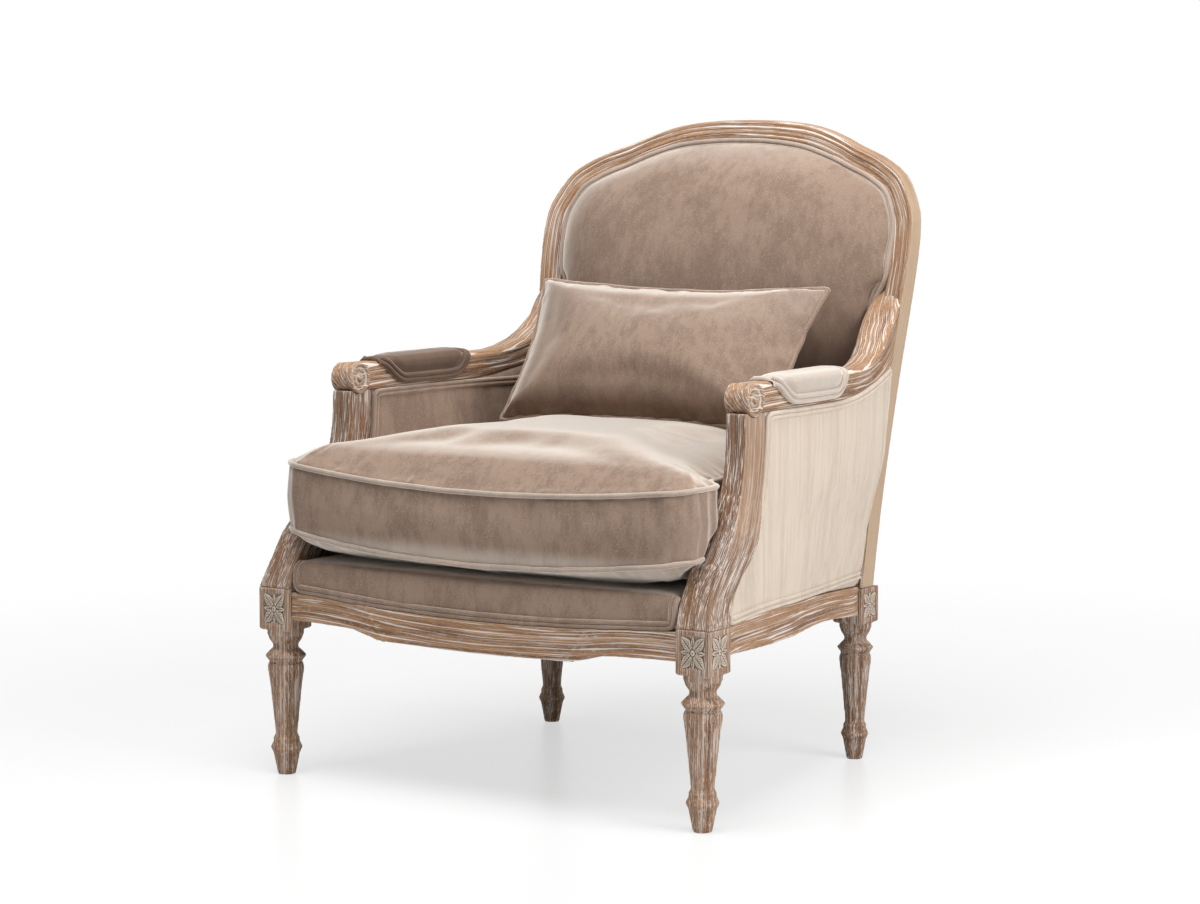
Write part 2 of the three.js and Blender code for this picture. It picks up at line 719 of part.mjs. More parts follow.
// A place on the side of the chair: along from arm post to stile, up from rail to arm
function sidePlace(along, up, bottomOf) {
  let z = lerp(sideRail.top, armBottom, up);
  let y = 0;
  for (let i = 0; i < 6; i++) {
    const from = Math.max(armPostAt(z).rear - softGap, sideRailStart);
    y = lerp(from, stileFrontY(z) - clearance, along);
    z = lerp(bottomOf(y) + clearance, armBottomZ(y) - clearance, up);
  }
  return { y, z };
}

function sideOutline() {
  const outline = [];
  const lengthSteps = 7;
  const heightSteps = 7;
  for (let i = 0; i < lengthSteps; i++) outline.push(new THREE.Vector2(i / lengthSteps, 0));
  for (let i = 0; i < heightSteps; i++) outline.push(new THREE.Vector2(1, i / heightSteps));
  for (let i = 0; i < lengthSteps; i++) outline.push(new THREE.Vector2(1 - i / lengthSteps, 1));
  for (let i = 0; i < heightSteps; i++) outline.push(new THREE.Vector2(0, 1 - i / heightSteps));
  return outline;
}

// How far the side has drawn in from the rail, 0, to the arm, 1, at a height
function drawnIn(z) {
  const up = (z - frontBlock.top) / (armPost.top - frontBlock.top);
  return follow(postWidthShares, THREE.MathUtils.clamp(up, 0, 1));
}

const sideInnerX = (y, z) => lerp(sideRailX(y) - sideWallWidth, armInnerX(y), drawnIn(z));
const sideOuterX = (y, z) => lerp(sideRailX(y), armOuterX(y), drawnIn(z));

function buildSideUpholstery() {
  const grownPost = armPostSolid(clearance);
  const loweredArm = armSolid().translate([0, 0, -clearance]);
  const fitted = (geometry) => geometryOf(solid(geometry).subtract(grownPost).subtract(loweredArm));
  const out = outsideArm;
  const outside = domed(
    sideOutline(),
    layersOf(sidePanelShares, out.thickness, out.crown),
    (along, up, h) => {
      const { y, z } = sidePlace(along, up, sideRailTop);
      return new THREE.Vector3(sideOuterX(y, z) - out.setIn + h, y, z);
    },
  );
  pair("outside_arm_panel", fitted(outside), linen);

  const pad = insideArm;
  const inside = domed(
    sideOutline(),
    layersOf(sidePanelShares, pad.thickness, pad.crown),
    (along, up, h) => {
      const { y, z } = sidePlace(along, up, () => insideArm.bottom);
      return new THREE.Vector3(sideInnerX(y, z) + pad.setIn - h, y, z);
    },
  );
  pair("inside_arm_pad", fitted(inside), velvet);
}

// Arm pads: a stuffed saddle over each arm, with sides that step down behind its nose
function buildArmPads() {
  const { start, end, height, overhang, drop, wall, noseDrop } = manchette;
  const steps = 18;
  const rings = [];
  for (let i = 0; i <= steps; i++) {
    const along = i / steps;
    const y = lerp(start, end, along);
    const nose = THREE.MathUtils.smoothstep(along, 0, 0.28);
    const tail = 1 - THREE.MathUtils.smoothstep(along, 0.86, 1);
    const low = armTopZ(y) - lerp(noseDrop, drop, nose * tail);
    const high = armTopZ(y) + clearance;
    const swell = height * lerp(0.35, 1, Math.min(nose, tail));
    const inner = armInnerX(y);
    const outer = armOuterX(y);
    const corner = (x, z) => new THREE.Vector3(x, y, z);
    const reach = wall + overhang * nose;
    rings.push([
      corner(inner - clearance, low), corner(inner - wall, low), corner(inner - reach, high - wall),
      corner(inner - half(wall), high + swell * 0.55), corner(lerp(inner, outer, 0.25), high + swell * 0.95),
      corner(lerp(inner, outer, 0.5), high + swell), corner(lerp(inner, outer, 0.75), high + swell * 0.95),
      corner(outer + half(wall), high + swell * 0.55), corner(outer + reach, high - wall),
      corner(outer + wall, low), corner(outer + clearance, low), corner(outer + clearance, high),
      corner(inner - clearance, high),
    ]);
  }
  pair("arm_pad", loft(rings), velvet);
}

// Mirrors the right half of a plan outline, which runs from the front centre to the rear centre
function bothSides(right) {
  const left = right
    .slice(1, -1)
    .reverse()
    .map((p) => new THREE.Vector2(-p.x, p.y));
  return [...right, ...left];
}

function buildDeck() {
  const wide = armPostAt(deck.top).inner - clearance;
  const right = [];
  for (let i = 0; i <= half(frontRailSteps); i++) {
    const x = Math.min(wide, (frontRailEnd * i) / half(frontRailSteps));
    right.push(new THREE.Vector2(x, frontRailY(x) + deck.frontInset));
  }
  right.push(new THREE.Vector2(wide, half(frontBlock.side)));
  right.push(new THREE.Vector2(lerp(wide, deck.rearHalfWidth, 0.5), half(deckRear)));
  const rearSteps = 6;
  for (let i = rearSteps; i >= 0; i--) {
    const x = ((deck.rearHalfWidth - clearance) * i) / rearSteps;
    right.push(new THREE.Vector2(x, backFaceY(x, deck.top) - half(deck.edge)));
  }
  const layers = [
    [0.5, 0], [0.85, 0], [1, 0], [1, 0.62], [0.995, 0.8], [0.98, 0.94], [0.955, 1], [0.4, 1],
  ];
  const shape = domed(bothSides(right), layers, (x, y, h) => {
    const behind = (y - frontRailY(x) - deck.frontInset) / railThickness;
    const inward = THREE.MathUtils.clamp(behind, 0, 1);
    const bottom = lerp(frontRailTop(x), frontRail.top, inward) + clearance;
    return new THREE.Vector3(x, y, lerp(bottom, deck.top, h));
  });
  piece("seat_deck", shape, velvet);
}

function buildDustCover() {
  const inside = railThickness + clearance;
  const right = [];
  const steps = 6;
  const frontReach = frontBlockInner - clearance;
  for (let i = 0; i <= steps; i++) {
    const x = (frontReach * i) / steps;
    right.push(new THREE.Vector2(x, frontRailY(x) + inside));
  }
  right.push(new THREE.Vector2(frontReach, sideRailStart));
  right.push(new THREE.Vector2(sideRailX(sideRailStart) - inside, sideRailStart));
  right.push(new THREE.Vector2(sideRailX(sideRailEnd) - inside, sideRailEnd));
  const rearReach = rearBlockInner - clearance;
  right.push(new THREE.Vector2(rearReach, sideRailEnd));
  for (let i = steps; i >= 0; i--) {
    const x = (rearReach * i) / steps;
    right.push(new THREE.Vector2(x, backRailY(x) - inside));
  }
  const outline = bothSides(right);
  const top = cornerBlock.bottom - clearance;
  const ring = (z) => outline.map((p) => new THREE.Vector3(p.x, p.y, z));
  piece("dust_cover", loft([ring(top - dustCover.thickness), ring(top)]), cambric);
}

// Seat cushion: boxed between two welts, crowned above and below, eared round the arm posts
function cushionOutline() {
  const c = cushion;
  const right = [];
  const frontSteps = 5;
  for (let i = 0; i <= frontSteps; i++) {
    const x = ((c.halfFront - c.corner) * i) / frontSteps;
    const across = x / c.halfFront;
    right.push(new THREE.Vector2(x, c.front - c.bow * (1 - across * across)));
  }
  const arc = (x, y, radius, from, to, steps) => {
    for (let i = 1; i <= steps; i++) {
      const angle = lerp(from, to, i / steps) * half(Math.PI);
      right.push(new THREE.Vector2(x + radius * Math.cos(angle), y + radius * Math.sin(angle)));
    }
  };
  const sideX = (y) => sideInnerX(y, c.weltBottom) + insideArm.setIn - insideArm.crown - c.sideGap;
  const halfNeck = armPostAt(c.weltTop).inner - c.sideGap - c.bulge;
  const ear = c.halfFront - halfNeck;
  arc(c.halfFront - c.corner, c.front + c.corner, c.corner, -1, 0, 4);
  right.push(new THREE.Vector2(c.halfFront, lerp(c.front, c.neckY, 0.6)));
  arc(c.halfFront - half(ear), c.neckY - half(ear), half(ear), 0, 1, 2);
  right.push(new THREE.Vector2(halfNeck, c.neckY + half(ear)));
  const sideSteps = 5;
  for (let i = 1; i <= sideSteps; i++) {
    const y = lerp(c.neckY + ear, cushionRear - c.corner, i / sideSteps);
    right.push(new THREE.Vector2(Math.min(halfNeck, sideX(y) - c.bulge), y));
  }
  const halfRear = sideX(cushionRear - c.corner) - c.bulge;
  arc(halfRear - c.corner, cushionRear - c.corner, c.corner, 0, 1, 4);
  right.push(new THREE.Vector2(half(halfRear), cushionRear + half(c.bow)));
  right.push(new THREE.Vector2(0, cushionRear + c.bow));
  return bothSides(right);
}

// Height level: -1 under the middle, then the lower welt, 0 halfway up, the upper welt, 1 on top
const weltLevel = 0.6;
const cushionLayers = [
  [0.3, -1], [0.7, -1], [0.88, -0.94], [0.96, -0.8], [0.992, -weltLevel], [1.012, -0.4],
  [1.022, 0], [1.012, 0.4], [0.992, weltLevel], [0.94, 0.76], [0.8, 0.9], [0.58, 0.97], [0.3, 1],
];

function cushionGeometry() {
  const c = cushion;
  const base = deck.top + clearance;
  return domed(cushionOutline(), cushionLayers, (x, y, level) => {
    const across = x / c.halfFront;
    const forward = THREE.MathUtils.clamp((c.neckY - y) / (c.neckY - c.front), 0, 1);
    const dip = Math.max(0, 1 - across * across) * forward;
    const low = c.weltBottom - c.bottomDip * dip;
    const high = c.weltTop - c.dip * dip;
    const past = (Math.abs(level) - weltLevel) / (1 - weltLevel);
    let z = lerp(low, high, (level / weltLevel + 1) / 2);
    if (level > weltLevel) z = lerp(high, c.crown, past);
    if (level < -weltLevel) z = lerp(low, base, past);
    return new THREE.Vector3(x, y, z);
  });
}

// The cushion is cut clear of all of the post that it passes when it is lifted out
function cushionSolid() {
  const post = geometryOf(armPostSolid(cushion.postGap, armPostAt(armPost.top)));
  const left = facedOut(post.clone().scale(-1, 1, 1));
  return solid(cushionGeometry()).subtract(solid(post)).subtract(solid(left));
}

// Lumbar pillow: knife-edged, its sides drawn in between pointed corners, leaning on the back
function pillowSolid() {
  const p = pillow;
  const sideSteps = 10;
  const endSteps = 7;
  const outline = [];
  const edge = (steps, at) => {
    for (let i = 0; i < steps; i++) outline.push(at(lerp(-1, 1, i / steps)));
  };
  const drawn = (s) => p.draw * (1 - s * s);
  const up = new THREE.Vector2(p.topY - p.bottomY, pillowHigh - pillowLow);
  const reach = half(up.length());
  const widthAt = (v) => lerp(p.halfLow, p.halfWidth, (v + 1) / 2);
  edge(sideSteps, (s) => new THREE.Vector2(s * widthAt(-1), -reach + drawn(s)));
  edge(endSteps, (s) => new THREE.Vector2(widthAt(s) - drawn(s), s * reach));
  edge(sideSteps, (s) => new THREE.Vector2(-s * widthAt(1), reach - drawn(s)));
  edge(endSteps, (s) => new THREE.Vector2(-widthAt(-s) + drawn(s), -s * reach));
  const halfLayers = [[0.96, 0.3], [0.87, 0.58], [0.7, 0.83], [0.45, 0.96], [0.2, 1]];
  const back = halfLayers.map(([share, h]) => [share, -h]).reverse();
  const unit = up.clone().normalize();
  const middle = new THREE.Vector2(p.topY + p.bottomY, pillowHigh + pillowLow).multiplyScalar(0.5);
  const shape = domed(outline, [...back, [1, 0], ...halfLayers], (x, v, level) => {
    const out = half(p.thickness) * level;
    const y = middle.x + unit.x * v - unit.y * out;
    const z = middle.y + unit.y * v + unit.x * out;
    return new THREE.Vector3(x, y, z);
  });
  return solid(shape);
}

function buildCushions() {
  const seat = cushionSolid();
  piece("seat_cushion", geometryOf(seat), velvet);
  const under = seat.translate([0, 0, clearance]);
  piece("lumbar_pillow", geometryOf(pillowSolid().subtract(under)), velvet);
}

buildLegs();
buildFrontRail();
buildSideRails();
buildBackRail();
buildCornerBlocks();
buildArmPosts();
buildArms();
buildBackFrame();
buildStayRail();
buildBackUpholstery();
buildSideUpholstery();
buildArmPads();
buildDeck();
buildDustCover();
buildCushions();

// The origin stands at the middle of the chair's plan, on the floor
const plan = new THREE.Box3().setFromObject(chair);
const planMiddle = plan.getCenter(new THREE.Vector3());
chair.position.set(-planMiddle.x, -planMiddle.y, -plan.min.z);

export default chair;
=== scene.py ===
"""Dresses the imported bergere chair: limed oak show-wood with its carving, velvet and linen
upholstery with double welts, loose cushions that a cloth simulation fills, and the studio."""

import itertools
import math

import bpy
import numpy as np
from bpy.props import FloatProperty, FloatVectorProperty, IntProperty, PointerProperty
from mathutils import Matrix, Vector
from mathutils.bvhtree import BVHTree


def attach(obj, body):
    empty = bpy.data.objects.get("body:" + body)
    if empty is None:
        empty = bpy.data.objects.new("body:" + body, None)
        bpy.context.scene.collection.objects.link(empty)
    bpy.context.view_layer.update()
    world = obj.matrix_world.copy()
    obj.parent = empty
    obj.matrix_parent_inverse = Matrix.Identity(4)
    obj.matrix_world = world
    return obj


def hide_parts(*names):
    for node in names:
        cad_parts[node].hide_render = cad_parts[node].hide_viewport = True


bl_info = {
    "name": "Bergere Chair",
    "version": (1, 0, 0),
    "blender": (4, 5, 0),
    "location": "View3D > Sidebar > Bergere",
    "description": "Dresses a packed bergere chair and sets its studio",
    "category": "Object",
}

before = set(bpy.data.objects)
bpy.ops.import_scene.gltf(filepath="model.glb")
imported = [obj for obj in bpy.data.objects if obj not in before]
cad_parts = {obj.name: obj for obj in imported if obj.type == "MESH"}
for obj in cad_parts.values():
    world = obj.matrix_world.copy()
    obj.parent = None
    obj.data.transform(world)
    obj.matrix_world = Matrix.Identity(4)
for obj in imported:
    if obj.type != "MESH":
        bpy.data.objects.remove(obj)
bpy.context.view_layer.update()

SIDES = (("right", 1), ("left", -1))
FORWARDS, BACKWARDS, UP, DOWN = (0, -1, 0), (0, 1, 0), (0, 0, 1), (0, 0, -1)
MILLIMETRE = 0.001
ROWS_AT_ONCE = 4000  # how many places are measured at a time, to spare memory

# The chair's own lines, in metres in the frame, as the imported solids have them
PLAN_SHIFT = 0.34217
BACK_TOP = 0.946
BACK_HALF_WIDTH = 0.329
BACK_OUTLINE_SHARES = (
    (0.903, 0), (0.918, 0.151), (0.945, 0.346), (0.967, 0.492), (0.988, 0.614), (1, 0.71),
    (0.994, 0.785), (0.957, 0.833), (0.886, 0.882), (0.76, 0.918), (0.626, 0.942),
    (0.514, 0.964), (0.362, 0.986), (0.18, 0.997), (0, 1),
)


def lengths_along(path):
    return np.concatenate([[0], np.cumsum(np.linalg.norm(np.diff(path, axis=0), axis=1))])


def dense_line(points, step, closed=False):
    """Points a step apart on straight lines between the given ones."""
    points = np.asarray(points, float)
    lengths = lengths_along(points)
    at = np.linspace(0, lengths[-1], max(2, int(round(lengths[-1] / step)) + 1))
    if closed:
        at = at[:-1]
    return np.column_stack([np.interp(at, lengths, column) for column in points.T])


def smooth_path(points, step, closed=False):
    """Points a step apart on a Catmull-Rom curve through the given ones."""
    points = np.asarray(points, float)
    if closed:
        padded = np.vstack([points[-1], points, points[0], points[1]])
    else:
        first = 2 * points[0] - points[1]
        last = 2 * points[-1] - points[-2]
        padded = np.vstack([first, points, last])
    pieces = []
    shares = np.linspace(0, 1, 24, endpoint=False)[:, None]
    for a, b, c, d in zip(padded, padded[1:], padded[2:], padded[3:]):
        pieces.append(
            0.5 * (2 * b + (c - a) * shares + (2 * a - 5 * b + 4 * c - d) * shares**2
                   + (3 * b - a - 3 * c + d) * shares**3)
        )
    return dense_line(np.vstack(pieces + [padded[-2][None]]), step, closed)


def distance_to(places, path):
    """How far each place is from the nearest point of a path, and which point that is."""
    gaps = np.empty(len(places))
    nearest = np.empty(len(places), int)
    for start in range(0, len(places), ROWS_AT_ONCE):
        part = np.linalg.norm(places[start:start + ROWS_AT_ONCE, None] - path[None], axis=2)
        nearest[start:start + ROWS_AT_ONCE] = part.argmin(axis=1)
        gaps[start:start + ROWS_AT_ONCE] = part.min(axis=1)
    return gaps, nearest


def back_face_y(x, z):
    """How far back the frame's raked and barrelled back face lies at x and z."""
    rise = z - 0.275
    barrel = 0.035 * (1 - (x / BACK_HALF_WIDTH) ** 2)
    return 0.531 - PLAN_SHIFT + 0.11 * rise + rise * rise / 7.7 + barrel


def lattice_noise(points, seed=0):
    """Smooth noise from -1 to 1 at each row of points, which count in cells of the noise."""
    cell = np.floor(points).astype(np.int64)
    part = points - cell
    ease = part * part * (3 - 2 * part)
    total = np.zeros(len(points))
    for corner in itertools.product((0, 1), repeat=3):
        x, y, z = (cell + corner).T
        mixed = (x * 73856093) ^ (y * 19349663) ^ (z * 83492791) ^ (seed * 39916801 + 977)
        mixed = ((mixed ^ (mixed >> 13)) * 1274126177) & 0xFFFFFFFF
        value = ((mixed ^ (mixed >> 16)) & 0xFFFF) / 32767.5 - 1
        total += value * np.prod(np.where(np.array(corner) == 1, ease, 1 - ease), axis=1)
    return total


def ramp(value, low, high):
    """0 below low, 1 above high, and smooth between them."""
    share = np.clip((value - low) / (high - low), 0, 1)
    return share * share * (3 - 2 * share)


# Meshes as arrays


def corners(mesh):
    found = np.zeros(len(mesh.vertices) * 3, np.float32)
    mesh.vertices.foreach_get("co", found)
    return found.reshape(-1, 3).astype(float)


def set_corners(mesh, places):
    mesh.vertices.foreach_set("co", np.asarray(places, np.float32).ravel())
    mesh.update()


def normals(mesh):
    found = np.zeros(len(mesh.vertices) * 3, np.float32)
    mesh.vertex_normals.foreach_get("vector", found)
    return found.reshape(-1, 3).astype(float)


def raised(mesh, heights):
    """Moves each corner along its normal by its height."""
    set_corners(mesh, corners(mesh) + normals(mesh) * np.asarray(heights)[:, None])


def edges(mesh):
    found = np.zeros(len(mesh.edges) * 2, np.int32)
    mesh.edges.foreach_get("vertices", found)
    return found.reshape(-1, 2)


def relaxed(places, pairs, times, strength=0.5, held=None):
    """The places after each has moved towards the mean of its neighbours, a number of times."""
    count = np.bincount(pairs.ravel(), minlength=len(places))[:, None].clip(1)
    places = places.copy()
    for _ in range(times):
        total = np.zeros_like(places)
        for axis in range(places.shape[1]):
            total[:, axis] = np.bincount(
                pairs[:, 0], places[pairs[:, 1], axis], len(places)
            ) + np.bincount(pairs[:, 1], places[pairs[:, 0], axis], len(places))
        move = strength * (total / count - places)
        if held is not None:
            move[held] = 0
        places += move
    return places


def store(mesh, name, values):
    """Keeps one number, or three, for each corner of the mesh as a named attribute."""
    values = np.asarray(values, np.float32)
    kind = "FLOAT_VECTOR" if values.ndim == 2 else "FLOAT"
    attribute = mesh.attributes.new(name, kind, "POINT")
    attribute.data.foreach_set("vector" if values.ndim == 2 else "value", values.ravel())


def shade_smooth(mesh):
    mesh.polygons.foreach_set("use_smooth", np.ones(len(mesh.polygons), bool))
    mesh.update()


def new_object(name, mesh):
    made = bpy.data.objects.new(name, mesh)
    bpy.context.scene.collection.objects.link(made)
    return made


def mesh_from(name, places, faces):
    mesh = bpy.data.meshes.new(name)
    mesh.from_pydata([tuple(p) for p in places], [], [tuple(f) for f in faces])
    mesh.update()
    shade_smooth(mesh)
    return mesh


def baked(piece):
    """Applies every modifier on the piece."""
    bpy.context.view_layer.update()
    graph = bpy.context.evaluated_depsgraph_get()
    mesh = bpy.data.meshes.new_from_object(piece.evaluated_get(graph), depsgraph=graph)
    piece.modifiers.clear()
    old = piece.data
    piece.data = mesh
    bpy.data.meshes.remove(old)
    mesh.name = piece.name
    return mesh


def remeshed_copy(nodes, name, voxel, relax=2, grow=0.0):
    """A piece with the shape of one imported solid, or of several that it joins, in even small
    faces. Solids that are to be joined are grown first, to close the gap between them."""
    places, faces = [], []
    for node in nodes:
        start = len(places)
        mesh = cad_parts[node].data
        places += [tuple(v.co) for v in mesh.vertices]
        faces += [tuple(start + i for i in p.vertices) for p in mesh.polygons]
    piece = new_object(name, mesh_from(name, places, faces))
    weld = piece.modifiers.new("weld", "WELD")
    weld.merge_threshold = 0.05 * MILLIMETRE
    mesh = baked(piece)
    if grow:
        set_corners(mesh, corners(mesh) + normals(mesh) * grow)
    remesh = piece.modifiers.new("remesh", "REMESH")
    remesh.mode = "VOXEL"
    remesh.voxel_size = voxel
    mesh = baked(piece)
    set_corners(mesh, relaxed(corners(mesh), edges(mesh), relax))
    shade_smooth(mesh)
    return piece


def thickened(piece, thickness, offset):
    """Gives a sheet its thickness: below it at offset -1, and on both sides at 0."""
    thick = piece.modifiers.new("thickness", "SOLIDIFY")
    thick.thickness = thickness
    thick.offset = offset
    mesh = baked(piece)
    shade_smooth(mesh)
    return mesh


def tree_of(piece):
    """The piece's surface, to look up the nearest place on it or where a ray meets it."""
    mesh = piece.data
    return BVHTree.FromPolygons(
        [v.co.copy() for v in mesh.vertices], [tuple(p.vertices) for p in mesh.polygons]
    )


def cast(tree, start, way):
    """Where a ray first meets a surface, or None."""
    hit, _, _, _ = tree.ray_cast(Vector(start), Vector(way))
    return None if hit is None else np.array(hit)


def met(tree, starts, way):
    """Where rays from a row of places first meet a surface. The ones that miss are left out."""
    hits = [cast(tree, start, way) for start in starts]
    return np.array([hit for hit in hits if hit is not None])


def finish_piece(piece, slot, body="frame", nodes=()):
    """Says what the piece is made of, what it moves with and which solids it stands for."""
    piece.data.materials.clear()
    piece.data.materials.append(bpy.data.materials["bergere_" + slot])
    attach(piece, body)
    if nodes:
        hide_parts(*nodes)
    return piece


# Shaders


def maths(operation, swapped=False):
    """A method of a wire that adds one Math node."""

    def method(wire, *others):
        node = wire.tree.nodes.new("ShaderNodeMath")
        node.operation = operation
        for slot, value in zip(node.inputs, (*others, wire) if swapped else (wire, *others)):
            feed(wire.tree, slot, value)
        return Wire(wire.tree, node.outputs[0])

    return method


class Wire:
    """One output in a node tree, so that shader maths reads as maths."""

    __add__ = __radd__ = maths("ADD")
    __sub__ = maths("SUBTRACT")
    __rsub__ = maths("SUBTRACT", swapped=True)
    __mul__ = __rmul__ = maths("MULTIPLY")
    __truediv__ = maths("DIVIDE")
    __abs__ = maths("ABSOLUTE")
    greatest = maths("MAXIMUM")
    least = maths("MINIMUM")
    fraction = maths("FRACT")

    def __init__(self, tree, socket):
        self.tree = tree
        self.socket = socket

    def between(self, low, high):
        """0 below low, 1 above high, and smooth between them."""
        node = self.tree.nodes.new("ShaderNodeMapRange")
        node.interpolation_type = "SMOOTHSTEP"
        for slot, value in zip(node.inputs, (self, low, high, 0, 1)):
            feed(self.tree, slot, value)
        return Wire(self.tree, node.outputs[0])


def feed(tree, slot, value):
    """Links a wire into a socket, or sets the socket's own value. A colour gets its alpha."""
    if isinstance(value, Wire):
        tree.links.new(value.socket, slot)
    elif slot.type == "RGBA":
        slot.default_value = (*value, 1)
    else:
        slot.default_value = value


class Shader:
    """The nodes of a material or a world, added by a few short calls."""

    def __init__(self, name, owners="materials"):
        self.owner = getattr(bpy.data, owners).new(name)
        self.owner.use_nodes = True
        self.tree = self.owner.node_tree
        self.tree.nodes.clear()

    def node(self, kind, settings=None, output=0, **values):
        """A node of that kind with its settings and socket values, as a wire from one output."""
        node = self.tree.nodes.new("ShaderNode" + kind)
        for name, value in (settings or {}).items():
            setattr(node, name, value)
        for name, value in values.items():
            feed(self.tree, node.inputs[name.replace("_", " ")], value)
        return Wire(self.tree, node.outputs[output]) if node.outputs else None

    def attribute(self, name, output="Vector"):
        return self.node("Attribute", {"attribute_name": name}, output)

    def place(self):
        """Where the surface is, in the piece's own space."""
        return self.node("TexCoord", None, "Object")

    def parts(self, vector):
        """The three numbers of a vector."""
        node = self.node("SeparateXYZ", Vector=vector).socket.node
        return [Wire(self.tree, output) for output in node.outputs]

    def noise(self, vector, scale, detail=2.0, roughness=0.5):
        """Noise with one scale, or with one for each axis."""
        if isinstance(scale, tuple):
            vector = self.node("Mapping", {"vector_type": "POINT"}, Vector=vector, Scale=scale)
            scale = 1.0
        return self.node("TexNoise", Vector=vector, Scale=scale, Detail=detail,
                         Roughness=roughness)

    def blended(self, low, high, share):
        """A colour between two others."""
        node = self.tree.nodes.new("ShaderNodeMix")
        node.data_type = "RGBA"
        slots = {slot.identifier: slot for slot in (*node.inputs, *node.outputs)}
        for name, value in (("Factor_Float", share), ("A_Color", low), ("B_Color", high)):
            feed(self.tree, slots[name], value)
        return Wire(self.tree, slots["Result_Color"])

    def finish(self, colour, roughness, height, distance, **fixed):
        """The material of one surface with a fine relief, whose depth is in millimetres."""
        bump = self.node("Bump", Height=height, Distance=distance * MILLIMETRE)
        return self.ended(self.node("BsdfPrincipled", Base_Color=colour, Roughness=roughness,
                                    Normal=bump, **fixed))

    def ended(self, surface, kind="OutputMaterial"):
        """What owns the nodes, once they end in the surface."""
        self.node(kind, Surface=surface)
        return self.owner


def limed_oak(wood):
    """Brown oak with white lime left in its grooves and open grain. The grain follows the
    attribute grain: along the piece, and two ways across it, in metres. The attribute kind says
    how dense the open grain is, how far the face is rubbed bare, and whether it is carved."""
    made = Shader("bergere_limed_oak")
    grain = made.attribute("grain")
    cavity = made.attribute("cavity", "Fac")
    dense, rubbed, carved = made.parts(made.attribute("kind"))
    _, first, second = made.parts(grain)
    sway = made.noise(grain, (3.5, 18, 18), 1)
    wander = made.noise(grain, (15, 90, 90), 1)
    rings = made.noise(grain, (4, 110, 110), 3)
    patches = made.noise(grain, (9, 32, 32), 2)
    broken = made.noise(grain, (11, 150, 150), 2)
    fine = made.noise(grain, (32, 740, 740), 1)
    pores = made.noise(grain, (110, 1500, 1500), 1)
    across = first + second * 0.83 + (sway + wander * 0.12) * wood.sway

    def limed_lines(spacing, width):
        """White lines that wind along the grain, thicker in some places than in others."""
        from_line = abs((across / spacing).fraction() - 0.5) * spacing
        half = (broken - 0.39) * (width * 3.4)
        return 1 - (from_line - half).between(-0.0001, 0.0003)

    bold = limed_lines(wood.spacing, wood.line_width) * (1 - dense * 0.8)
    thin = limed_lines(wood.spacing * 0.44, wood.line_width * 0.5) * patches.between(0.44, 0.58)
    streaks = fine.between(0.57, 0.61) * dense * broken.between(0.36, 0.5)
    specks = pores.between(0.60, 0.68) * wood.pore_lime
    grooves = (cavity + (fine - 0.5) * wood.groove_broken).between(
        wood.groove_start, wood.groove_full) * 0.6
    lime = bold.greatest(thin * 0.8).greatest(streaks * 0.95).greatest(specks) * wood.line_lime
    lime = lime.greatest(grooves) * (1 - rubbed * 0.85)

    tone = made.blended(wood.dark, wood.honey, rings.between(0.30, 0.54))
    tone = made.blended(tone, wood.dark, fine.between(0.5, 0.36) * (dense * 0.75 + 0.15))
    tone = made.blended(tone, wood.blond, (0 - cavity).between(0.08, 0.5) * 0.5)
    tone = made.blended(tone, wood.dark, dense * 0.68)
    tone = made.blended(tone, wood.blond, rubbed * rubbed)
    shade = cavity.between(wood.groove_start * 0.2, wood.groove_full)
    tone = made.blended(tone, wood.dark, shade * 0.8)
    colour = made.blended(tone, wood.lime, lime)
    # Painted shade in the hollows of the carving, darker the deeper they are
    flower = made.blended(wood.carved, wood.carving_painted_shade,
                          (cavity + (pores - 0.5) * 0.4).between(-0.08, 0.12))
    colour = made.blended(colour, flower, carved)
    height = fine * 0.3 + pores * 0.2 - lime * 0.6
    return made.finish(colour, lime * 0.2 + 0.56, height, wood.bump,
                       Specular_IOR_Level=0.3)


def plain_hardwood(wood):
    """Sawn secondary wood, for what the upholstery hides."""
    made = Shader("bergere_inner_hardwood")
    place = made.place()
    figure = made.noise(place, (14, 120, 120), 3)
    pores = made.noise(place, (60, 900, 900), 1)
    colour = made.blended(wood.inner_dark, wood.inner, figure.between(0.3, 0.7))
    return made.finish(colour, pores * 0.2 + 0.6, pores, wood.bump)


def velvet(fabric):
    """Dense short pile, brushed in soft clouds, with a painted sheen: darker face on and paler at
    a glance. Each piece's stored painted highlight makes it paler, and its painted shade darker.
    """
    made = Shader("bergere_velvet")
    place = made.place()
    clouds = made.noise(place, 11.0, 3.0, 0.55)
    brushed = made.noise(place, (75, 75, 30), 4.0, 0.65)
    pile = made.noise(place, 1500.0, 2.0, 0.6)
    fleck = made.noise(place, 430.0, 2.0, 0.7)
    share = clouds * 0.5 + brushed * 0.5
    colour = made.blended(fabric.velvet_dark, fabric.velvet, share.between(0.40, 0.59))
    colour = made.blended(colour, fabric.velvet_pale, fleck.between(0.52, 0.68) * 0.5)
    # Painted light and shade that each piece stores at its corners: above 0 a painted highlight,
    # below 0 painted shade.
    nap = made.attribute("nap", "Fac")
    colour = made.blended(colour, fabric.velvet_painted_highlight, nap.greatest(0))
    colour = made.blended(colour, fabric.velvet_painted_shade, (0 - nap).greatest(0))
    # A painted sheen: the colour turns paler where the surface is seen at a glance, less so under
    # painted shade.
    glance = made.node("LayerWeight", None, "Facing", Blend=0.5)
    colour = made.blended(colour, fabric.velvet_painted_highlight,
                          glance.between(0.42, 1.0) * fabric.glance
                          * (1 + nap.least(0) * 1.2))
    return made.finish(colour, pile * 0.2 + 0.75, pile * 0.5 + fleck * 0.5,
                       fabric.pile_bump, Sheen_Weight=fabric.sheen,
                       Sheen_Roughness=fabric.sheen_roughness,
                       Sheen_Tint=fabric.sheen_tint, Specular_IOR_Level=0.1)


